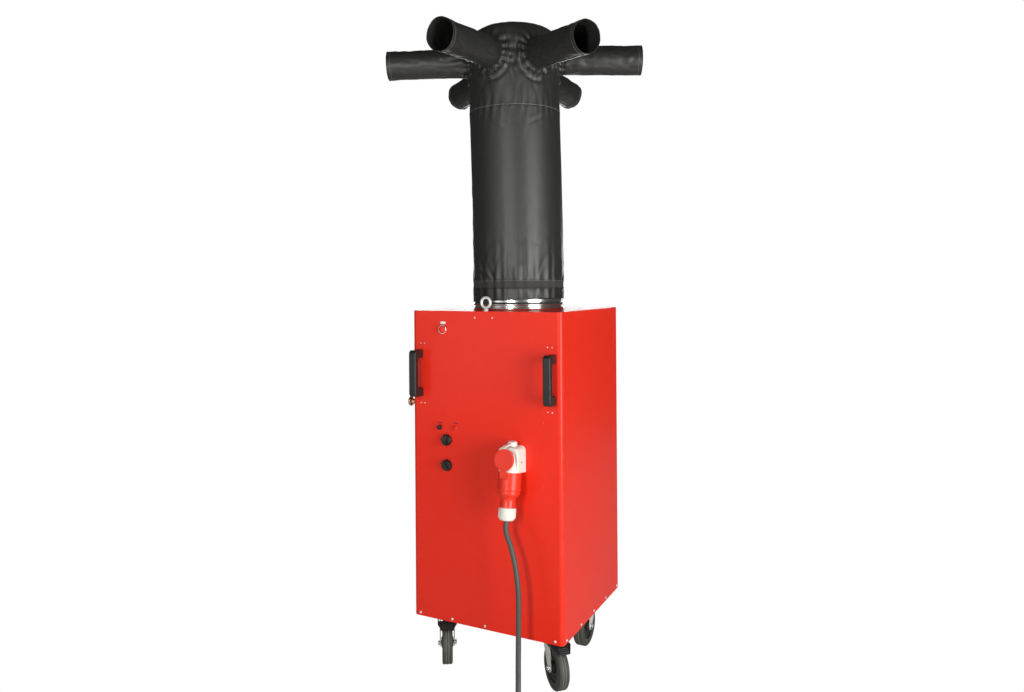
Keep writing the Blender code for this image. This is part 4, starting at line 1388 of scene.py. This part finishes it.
    def split(self, skin: bpy.types.Object) -> None:
        """Cut the skin into tube, crown and arms, each with its own cloth thickness and UV map.

        Args:
            skin: The whole skin, which is removed.
        """
        parts = [("tube_cloth", "tube_sleeve", (FULL_TURN * self.tube, self.seam - self.foot),
                  "stretched"),
                 ("crown_cloth", "crown_sleeve", (0.62, 0.62), "stretched")]
        parts += [(f"arm_cloth_{i}", f"arm_sleeve_{i}",
                   (FULL_TURN * self.arm, self.reach - self.root),
                   "stretched") for i in range(1, 7)]
        for number, (name, node, flat, held) in enumerate(parts):
            bm = bmesh.new()
            bm.from_mesh(skin.data)
            away = [f for f in bm.faces if self.region(f.calc_center_median()) != number]
            bmesh.ops.delete(bm, geom=away, context="FACES")
            self.lay_weave(bm)
            area = sum(f.calc_area() for f in bm.faces)
            mesh = bpy.data.meshes.new(name)
            bm.to_mesh(mesh)
            bm.free()
            mesh.materials.append(CLOTH.material())
            mesh.shade_smooth()
            obj = bpy.data.objects.new(name, mesh)
            bpy.context.collection.objects.link(obj)
            wall = obj.modifiers.new("cloth", "SOLIDIFY")
            wall.thickness, wall.offset = 0.0010, -1.0
            dress(obj, "cabinet", [node])
            log.info("%s has %.3f m2 of cloth, cut from %.3f m2", name, area, flat[0] * flat[1])
        bpy.data.objects.remove(skin)

    def lay_weave(self, bm: bmesh.types.BMesh) -> None:
        """Give the cloth a UV map in metres along its warp and weft.

        Args:
            bm: The cloth.
        """
        uv = bm.loops.layers.uv.new("weave")
        for face in bm.faces:
            centre = face.calc_center_median()
            index, t, off, turn = self.arm_place(centre)
            on_arm = t > self.root and off < self.arm * 1.4
            base = turn if on_arm else math.atan2(centre.y, centre.x)
            for loop in face.loops:
                p = loop.vert.co
                if on_arm:
                    _, u, _, angle = self.arm_place(p)
                    radius = self.arm
                elif centre.z > 2.35:
                    loop[uv].uv = (p.x, p.y)
                    continue
                else:
                    angle, radius, u = math.atan2(p.y, p.x), self.tube, p.z
                angle = base + (angle - base + math.pi) % FULL_TURN - math.pi
                loop[uv].uv = (angle * radius, u)

    def on_skin(self, start: Vector, way: Vector, lift: float) -> Vector:
        """The first point of the skin met along a ray, lifted back by a little."""
        hit = self.tree.ray_cast(start, way)
        if hit[0] is None:
            return start + way * 0.1
        return hit[0] - way * lift

    def ring_line(self, centre: Vector, axis: Vector, radius: float, count: int,
                  lift: float) -> list[Vector]:
        """A line round the skin where a ring of inward rays meets it.

        Args:
            centre: The ring's centre.
            axis: What it goes round.
            radius: Where the rays start.
            count: How many rays.
            lift: How far the line is above the cloth.

        Returns:
            The line's points.
        """
        side = axis.orthogonal().normalized()
        other = axis.cross(side).normalized()
        points = []
        for i in range(count):
            a = FULL_TURN * i / count
            outward = side * math.cos(a) + other * math.sin(a)
            points.append(self.on_skin(centre + outward * radius, -outward, lift))
        return points

    def seams(self) -> None:
        """Piping at the crown's seam and arm roots, side seams on the arms and hem stitching."""
        up = Vector((0, 0, 1))
        middle_at = self.leaning(Vector((0, 0, self.seam)))
        points = self.ring_line(middle_at, up, 0.24, 180, 0.0002)
        stroke("crown_seam", "cabinet", THREAD, points, 0.0010, closed=True)
        for i in range(1, 7):
            along = self.direction(i - 1)
            centre = self.leaning(Vector((0, 0, self.root_z)))
            for name, distance, bead, look in (("root", self.root + 0.001, 0.0017, HEM),
                                               ("hem", self.reach - 0.0140, 0.0006, THREAD),
                                               ("edge", self.reach - 0.0006, 0.0013, HEM)):
                ring = self.ring_line(centre + along * distance, along, self.arm + 0.018, 60, 0.0)
                stroke(f"arm_{name}_{i}", "cabinet", look, ring, bead, closed=True)
            side = along.cross(up).normalized()
            arc_line = [self.on_skin(centre + along * 0.235 + side * (SWAG[0] * math.sin(a))
                                     - up * (SWAG[1] * math.cos(a)), -along, 0.0003)
                        for a in (math.radians(-112 + 5.6 * k) for k in range(41))]
            stroke(f"swag_{i}", "cabinet", HEM, arc_line, 0.0019)
            below = [self.on_skin(centre + along * (self.root + 0.004 + k * 0.0099) - up * 0.09, up,
                                  0.0)
                     for k in range(31)]
            stroke(f"arm_seam_{i}", "cabinet", HEM, below, 0.0013)
        line = [self.on_skin(self.leaning(Vector((0, 0, 1.345 + k * 0.0185)))
                             + Vector((0, 0.24, 0)),
                             Vector((0, -1, 0)), 0.0) for k in range(39)]
        stroke("tube_seam", "cabinet", HEM, line, 0.0014)

    def strap_band(self) -> None:
        """The webbing strap over the tube, its folded hem, pale edge and buckle."""
        low, high = self.strap
        rows = 7
        shape = Shape()
        loops = []
        for k in range(rows):
            z = low + (high - low) * k / (rows - 1)
            line = self.ring_line(Vector((0, 0, z)), Vector((0, 0, 1)), 0.24, 200, 0.0010)
            loops.append([shape.bm.verts.new(p) for p in line])
        for a, b in zip(loops, loops[1:]):
            edges = [shape.bm.edges.get(p) or shape.bm.edges.new(p)
                     for ring in (a, b) for p in zip(ring, ring[1:] + ring[:1])]
            bmesh.ops.bridge_loops(shape.bm, edges=edges)
        bmesh.ops.remove_doubles(shape.bm, verts=shape.bm.verts, dist=1e-6)
        bmesh.ops.recalc_face_normals(shape.bm, faces=shape.bm.faces)
        band = shape.show("strap_band", "cabinet", WEBBING, ["sleeve_strap"], level=False)
        wall = band.modifiers.new("webbing", "SOLIDIFY")
        wall.thickness, wall.offset = 0.0016, 1.0
        for name, z, radius, look in (("strap_edge_top", high, 0.0009, THREAD),
                                      ("strap_edge_low", low, 0.0009, HEM)):
            line = self.ring_line(Vector((0, 0, z)), Vector((0, 0, 1)), 0.24, 200, 0.0022)
            stroke(name, "cabinet", look, line, radius, closed=True)
        buckle = Shape.plate(rounded_rect(0.040, 0.036, 0.004), 0.0030)
        buckle.without(Shape.box((-0.014, -0.0135, -1), (-0.003, 0.0135, 1)),
                       Shape.box((0.003, -0.0135, -1), (0.014, 0.0135, 1)))
        place = self.on_skin(Vector((-0.24, 0.03, (low + high) / 2)), Vector((1, 0, 0)), 0.0022)
        buckle.moved((0, 0, 0), (math.pi / 2, 0, -math.pi / 2)).moved(place)
        buckle.show("strap_buckle", "cabinet", STEEL, round_edges=0.0008)

    def build(self) -> None:
        """Make the sleeve and its strap."""
        skin = self.dressed_skin()
        work = bmesh.new()
        work.from_mesh(skin.data)
        self.tree = BVHTree.FromBMesh(work)
        work.free()
        self.split(skin)
        self.seams()
        self.strap_band()


# Half width and drop of the piped swag under each arm's root.
SWAG = (0.0690, 0.0860)

# Creases of the tube: where round it and how high, slope, half length and depth.
CREASES = [(-0.430, 1.500, -0.90, 0.10, 0.0040), (-0.400, 1.455, -0.80, 0.10, 0.0042),
           (-0.365, 1.440, -0.85, 0.09, 0.0040), (-0.330, 1.430, -0.75, 0.07, 0.0034),
           (-0.300, 1.425, -0.95, 0.05, 0.0028), (-0.440, 1.580, -1.00, 0.09, 0.0028),
           (-0.420, 1.660, -1.10, 0.08, 0.0022), (-0.455, 1.720, -1.00, 0.07, 0.0020),
           (0.200, 1.470, 2.20, 0.10, 0.0030), (0.360, 1.500, 0.80, 0.10, 0.0030),
           (0.480, 1.540, 2.00, 0.12, 0.0030), (-0.280, 1.990, -0.50, 0.06, 0.0018),
           (-0.100, 2.000, 0.60, 0.05, 0.0016), (0.300, 1.950, 1.30, 0.08, 0.0024)]


# ---------------------------------------------------------------- power lead
def smooth_route(points: Sequence[Vector], step: float) -> list[Vector]:
    """Evenly spaced points on a smooth curve through the given points.

    Args:
        points: The points that the curve goes through.
        step: About how far apart the returned points are.

    Returns:
        The points, with both ends kept.
    """
    curve: list[Vector] = []
    ends = [points[0] * 2 - points[1], *points, points[-1] * 2 - points[-2]]
    for p0, p1, p2, p3 in zip(ends, ends[1:], ends[2:], ends[3:]):
        for i in range(24):
            t = i / 24
            curve.append(0.5 * (2 * p1 + (p2 - p0) * t + (2 * p0 - 5 * p1 + 4 * p2 - p3) * t * t
                                + (3 * p1 - p0 - 3 * p2 + p3) * t ** 3))
    curve.append(points[-1].copy())
    total = sum((b - a).length for a, b in zip(curve, curve[1:]))
    count = max(2, round(total / step))
    even, walked, target = [curve[0]], 0.0, total / count
    for a, b in zip(curve, curve[1:]):
        seg = (b - a).length
        while seg and walked + seg >= target - 1e-9 and len(even) < count:
            even.append(a.lerp(b, (target - walked) / seg))
            target += total / count
        walked += seg
    return even + [curve[-1]]


def ease(x: float) -> float:
    """A smooth step from 0 to 1."""
    x = min(1.0, max(0.0, x))
    return x * x * (3 - 2 * x)


@dataclass
class PowerLead:
    """The supply cable from the hanging connector to its stored coil and plug.

    Args:
        radius: Of the cable.
        mouth: Centre of the inlet's mouth.
        tilt: How far the connector leans out of the vertical, in degrees.
        connector_length: Of the connector's body with its nut.
        coil: The centre of the stored coil on the floor.
        coil_start: Radius at which the cable joins the coil.
        pitch: How much each turn differs from the next in radius, and each layer in height.
        layers: Turns in each layer, from the floor up.
        length: The real length of the cable; not used.
    """

    radius: float = 0.009
    mouth: Point = (0.126, -0.335, 0.757)
    tilt: float = 10.0
    connector_length: float = 0.158
    coil: tuple[float, float] = (0.120, -0.665)
    coil_start: float = 0.131
    pitch: float = 0.0186
    layers: tuple[float, ...] = (3.0, 2.0, 1.75)
    length: float = 5.0
    body: str = "cabinet"

    @property
    def axis(self) -> Vector:
        """Down along the connector."""
        lean = math.radians(self.tilt)
        return Vector((0, -math.sin(lean), -math.cos(lean)))

    @property
    def outward(self) -> Vector:
        """Square to the connector, away from the cabinet."""
        lean = math.radians(self.tilt)
        return Vector((0, -math.cos(lean), math.sin(lean)))

    @property
    def exit(self) -> Vector:
        """Where the cable leaves the nut."""
        return Vector(self.mouth) + self.axis * (self.connector_length + 0.0003)

    def hanging_route(self) -> list[Vector]:
        """Down from the nut and over the floor to the coil."""
        ground, x, y = self.radius + CLEARANCE, self.coil[0], self.coil[1]
        fixed = [(0.1480, -0.375, 0.518), (0.1660, -0.380, 0.460), (0.1766, -0.384, 0.399),
                 (0.1800, -0.3855, 0.343), (0.1804, -0.389, 0.230), (0.1830, -0.397, 0.150),
                 (0.1900, -0.4125, 0.072), (0.1990, -0.437, 0.0265), (0.2130, -0.482, ground),
                 (0.2360, -0.545, ground), (0.2480, y + 0.060, ground),
                 (x + self.coil_start, y, ground)]
        return [self.exit, self.exit + self.axis * 0.035, *(Vector(p) for p in fixed)]

    def coil_route(self) -> list[Vector]:
        """The stored turns, clockwise from above, and the rise into the plug."""
        points, turn, radius = [], 0.0, self.coil_start
        total, steps = sum(self.layers), 36
        for level, turns in enumerate(self.layers):
            inward = -1 if level % 2 == 0 else 1
            for i in range(1, round(turns * steps) + 1):
                turn += 1 / steps
                radius += inward * self.pitch / steps
                climb = ease((turn - sum(self.layers[:level])) * 6) if level else 1.0
                z = self.radius + CLEARANCE + (level - 1 + climb) * self.pitch
                left = total - turn
                z += ease(1 - left / 0.42) * 0.0400
                slide = -0.030 * ease(1 - left / 1.0)
                a = -FULL_TURN * turn
                points.append(Vector((self.coil[0] + slide + radius * math.cos(a),
                                      self.coil[1] + radius * math.sin(a), z)))
        return points

    def build_cable(self) -> bpy.types.Object:
        """The cable as one tube along its whole route.

        Returns:
            The cable.
        """
        route = smooth_route(self.hanging_route(), 0.02) + self.coil_route()
        for point in route:
            point.z = max(point.z, self.radius + CLEARANCE)
        cable = stroke("mains_cable", self.body, CABLE, route, self.radius, sides=5,
                       replaces=["supply_cable", "cable_coil"])
        end = route[-1]
        log.info("cable ends at %.4f %.4f %.4f, %.3f m long", *end,
                 sum((b - a).length for a, b in zip(route, route[1:])))
        return cable

    def inlet(self) -> None:
        """The white angled inlet: a rounded housing, its barrel, the cap and the lid's catch."""
        x, front = self.mouth[0], -0.286
        outline = ([(0.0380, -0.0490), (0.0380, 0.0270)] + arc(0.0200, 0.0270, 0.0180, 10, 90, 8)
                   + arc(-0.0200, 0.0270, 0.0180, 90, 170, 8)
                   + [(-0.0380, 0.0270), (-0.0380, -0.0490)])
        housing = Shape.plate(outline, 0.0640).front(x, 0.797, front - CLEARANCE)
        housing.without(Shape.box((-0.2, -0.2, -0.0002), (0.2, 0.2, 0.2)).along(self.mouth,
                                                                                self.axis))
        housing.show("inlet_housing", self.body, WHITE_PLASTIC, ["power_inlet"], round_edges=0.0050)
        barrel = Shape.turned([(0, -0.0002), (0.0365, -0.0002), (0.0365, 0.0080), (0.0352, 0.0092),
                               (0.0350, 0.050)] + arc(0.0270, 0.0560, 0.0080, 0, 80, 6)
                              + [(0, 0.0655)], 80)
        barrel.along(self.mouth, -self.axis)
        barrel.show("inlet_barrel", self.body, WHITE_PLASTIC)
        cap = Shape.turned([(0, 0.8400), (0.0162, 0.8400), (0.0168, 0.8420), (0.0162, 0.8440),
                            (0.0160, 0.8530)] + arc(0.0115, 0.8530, 0.0045, 0, 85, 6)
                           + [(0, 0.8578)], 48)
        cap.moved((x, -0.3150, 0)).show("inlet_cap", self.body, WHITE_PLASTIC)
        catch = Shape.plate([(-0.3000, 0.8530), (-0.3450, 0.8540), (-0.3700, 0.8530),
                             (-0.3830, 0.8495),
                             (-0.3875, 0.8455), (-0.3850, 0.8450), (-0.3800, 0.8470),
                             (-0.3660, 0.8478),
                             (-0.3450, 0.8475), (-0.3000, 0.8470)], 0.0130)
        catch.moved((0, 0,
                     -0.0065)).by(Matrix(((0, 0, 1, x), (1, 0, 0, 0), (0, 1, 0, 0), (0, 0, 0, 1))))
        catch.show("inlet_catch", self.body, WHITE_PLASTIC, round_edges=0.0014)
        for i, (z, look) in enumerate(((0.7900, BLACK_PLASTIC), (0.8110, SCREW))):
            pip = Shape.rod(0.0030, 0, 0.0010, 24, 0.0003)
            pip.moved((x + 0.0378, -0.3220, z), (0, math.pi / 2, 0))
            pip.show(f"inlet_pip_{i}", self.body, look)

    def connector(self) -> None:
        """The red coupling with its two steps and neck, and the ribbed white nut."""
        length = 0.116
        body = Shape.turned([(0, 0.0003), (0.0392, 0.0003), (0.0400, 0.0012), (0.0400, 0.0500),
                             (0.0404, 0.0530), (0.0412, 0.0542), (0.0412, 0.0578), (0.0404, 0.0590),
                             (0.0382, 0.0606), (0.0380, 0.0650), (0.0385, 0.0665), (0.0385, 0.0690),
                             (0.0378, 0.0722), (0.0355, 0.0762), (0.0310, 0.0806), (0.0275, 0.0838),
                             (0.0260, 0.0872), (0.0255, 0.0930), (0.0262, 0.1010), (0.0285, length),
                             (0, length)], 96)
        body.along(self.mouth, self.axis)
        body.show("coupling", self.body, RED_PLASTIC, ["connector_body"])
        start, end = length + 0.0003, length + 0.042
        nut = Shape.turned([(0, start), (0.0272, start), (0.0285, start + 0.0010),
                            (0.0288, start + 0.0060), (0.0282, start + 0.0300),
                            (0.0262, end - 0.0060),
                            (0.0230, end - 0.0010), (0.0215, end), (0, end)], 72)
        for i in range(28):
            rib = Shape.box((-0.0011, 0.0272, start + 0.003), (0.0011, 0.0294, end - 0.0085))
            nut.with_(rib.moved(turn=(0, 0, FULL_TURN * i / 28)))
        nut.along(self.mouth, self.axis)
        nut.show("gland_nut", self.body, WHITE_PLASTIC, ["connector_nut"])

    def flap(self) -> None:
        """The red lid that hangs open on its hinge."""
        pivot = Vector(self.mouth) + self.axis * 0.016 + self.outward * 0.0475
        local = Matrix((Vector((1, 0, 0)), -self.axis, self.outward)).transposed().to_4x4()
        local = Matrix.Translation(pivot) @ local
        disc = Shape.turned([(0, 0.0004), (0.0310, 0.0004), (0.0320, 0.0), (0.0345, 0.0),
                             (0.0362, 0.0010), (0.0362, 0.0068), (0.0345, 0.0080), (0.0318, 0.0080),
                             (0.0305, 0.0074), (0, 0.0074)], 96).moved((0, 0.0575, 0))
        disc.with_(Shape.box((-0.0115, 0.004, 0.0012), (0.0115, 0.032, 0.0068)),
                   Shape.rod(0.0054, -0.0125, 0.0125, 32, 0.0006).moved(turn=(0, math.pi / 2, 0)),
                   Shape.box((-0.0115, -0.002, -0.0028), (0.0115, 0.009, 0.0048)))
        disc.by(local)
        disc.show("coupling_lid", "lid", RED_PLASTIC, ["connector_lid"], round_edges=0.0008)

    def mains_plug(self) -> None:
        """The industrial plug on the stored coil: grip, skirt, pins and gland."""
        low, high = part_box("supply_plug")
        tail = Vector((low[0], (low[1] + high[1]) / 2, (low[2] + high[2]) / 2))
        plug = Shape.turned([(0, 0.0), (0.0150, 0.0), (0.0165, 0.0006), (0.0228, 0.0080),
                             (0.0232, 0.0200), (0.0240, 0.0400), (0.0268, 0.0500), (0.0305, 0.0680),
                             (0.0310, 0.0720), (0.0310, 0.0930), (0.0300, 0.0950), (0.0280, 0.0960),
                             (0.0280, 0.1290), (0.0272, 0.1300), (0.0250, 0.1300), (0.0246, 0.1290),
                             (0.0246, 0.1020), (0, 0.1020)], 80)
        for i in range(20):
            rib = Shape.box((-0.0010, 0.0225, 0.012), (0.0010, 0.0246, 0.038))
            plug.with_(rib.moved(turn=(0, 0, FULL_TURN * i / 20)))
        plug.along(tail, (1, 0, 0))
        plug.show("mains_plug", self.body, RED_PLASTIC, ["supply_plug"])
        pins = Shape()
        for i in range(5):
            a = FULL_TURN * i / 5
            pin = Shape.rod(0.0024, 0.100, 0.1265, 24, 0.0006)
            pins.with_(pin.moved((0.0150 * math.cos(a), 0.0150 * math.sin(a), 0)))
        pins.along(tail, (1, 0, 0)).show("plug_pins", self.body, BRASS)

    def ties(self) -> list[bpy.types.Object]:
        """Three straps that hold the stored turns together.

        Returns:
            The straps.
        """
        r_mid, z_mid, made = 0.0935, 0.0315, []
        for i, angle in enumerate((200, 320, 20)):
            ring = [(r_mid + x, z_mid + z) for x, z in rounded_rect(0.070, 0.0615, 0.014, 8)]
            turn = Matrix.Translation((self.coil[0], self.coil[1], 0)) @ Matrix.Rotation(
                math.radians(angle), 4, "Z")
            outline = Shape.plate(ring, 0.012)
            hole = Shape.plate([(r_mid + x, z_mid + z) for x,
                                z in rounded_rect(0.0668, 0.0583, 0.0125, 8)],
                               0.03)
            outline.without(hole.moved((0, 0, -0.01)))
            outline.moved((0, 0, -0.006)).moved(turn=(math.pi / 2, 0, 0)).by(turn)
            made.append(outline.show(f"coil_tie_{i}", self.body, WEBBING, round_edges=0.0003))
        return made

    def build(self) -> None:
        """Make the lead, the inlet that it hangs from and what is on it."""
        cable = self.build_cable()
        self.inlet()
        self.connector()
        self.flap()
        self.mains_plug()
        ties = self.ties()


CASTORS = (Castor("fl", -0.213, -0.195, -58.0, True), Castor("fr", 0.213, -0.195, -43.6, True),
           Castor("rl", -0.213, 0.165, -118.0), Castor("rr", 0.213, 0.165, -90.0))


def main() -> None:
    """Build the studio, the lead and every assembly in order."""
    logging.basicConfig(level=logging.INFO, format="%(message)s")
    Studio().build()
    PowerLead().build()
    Cabinet().build()
    Controls().build()
    AirPath().build()
    for castor in CASTORS:
        castor.build()
    Sleeve().build()


if __name__ == "__main__":
    main()
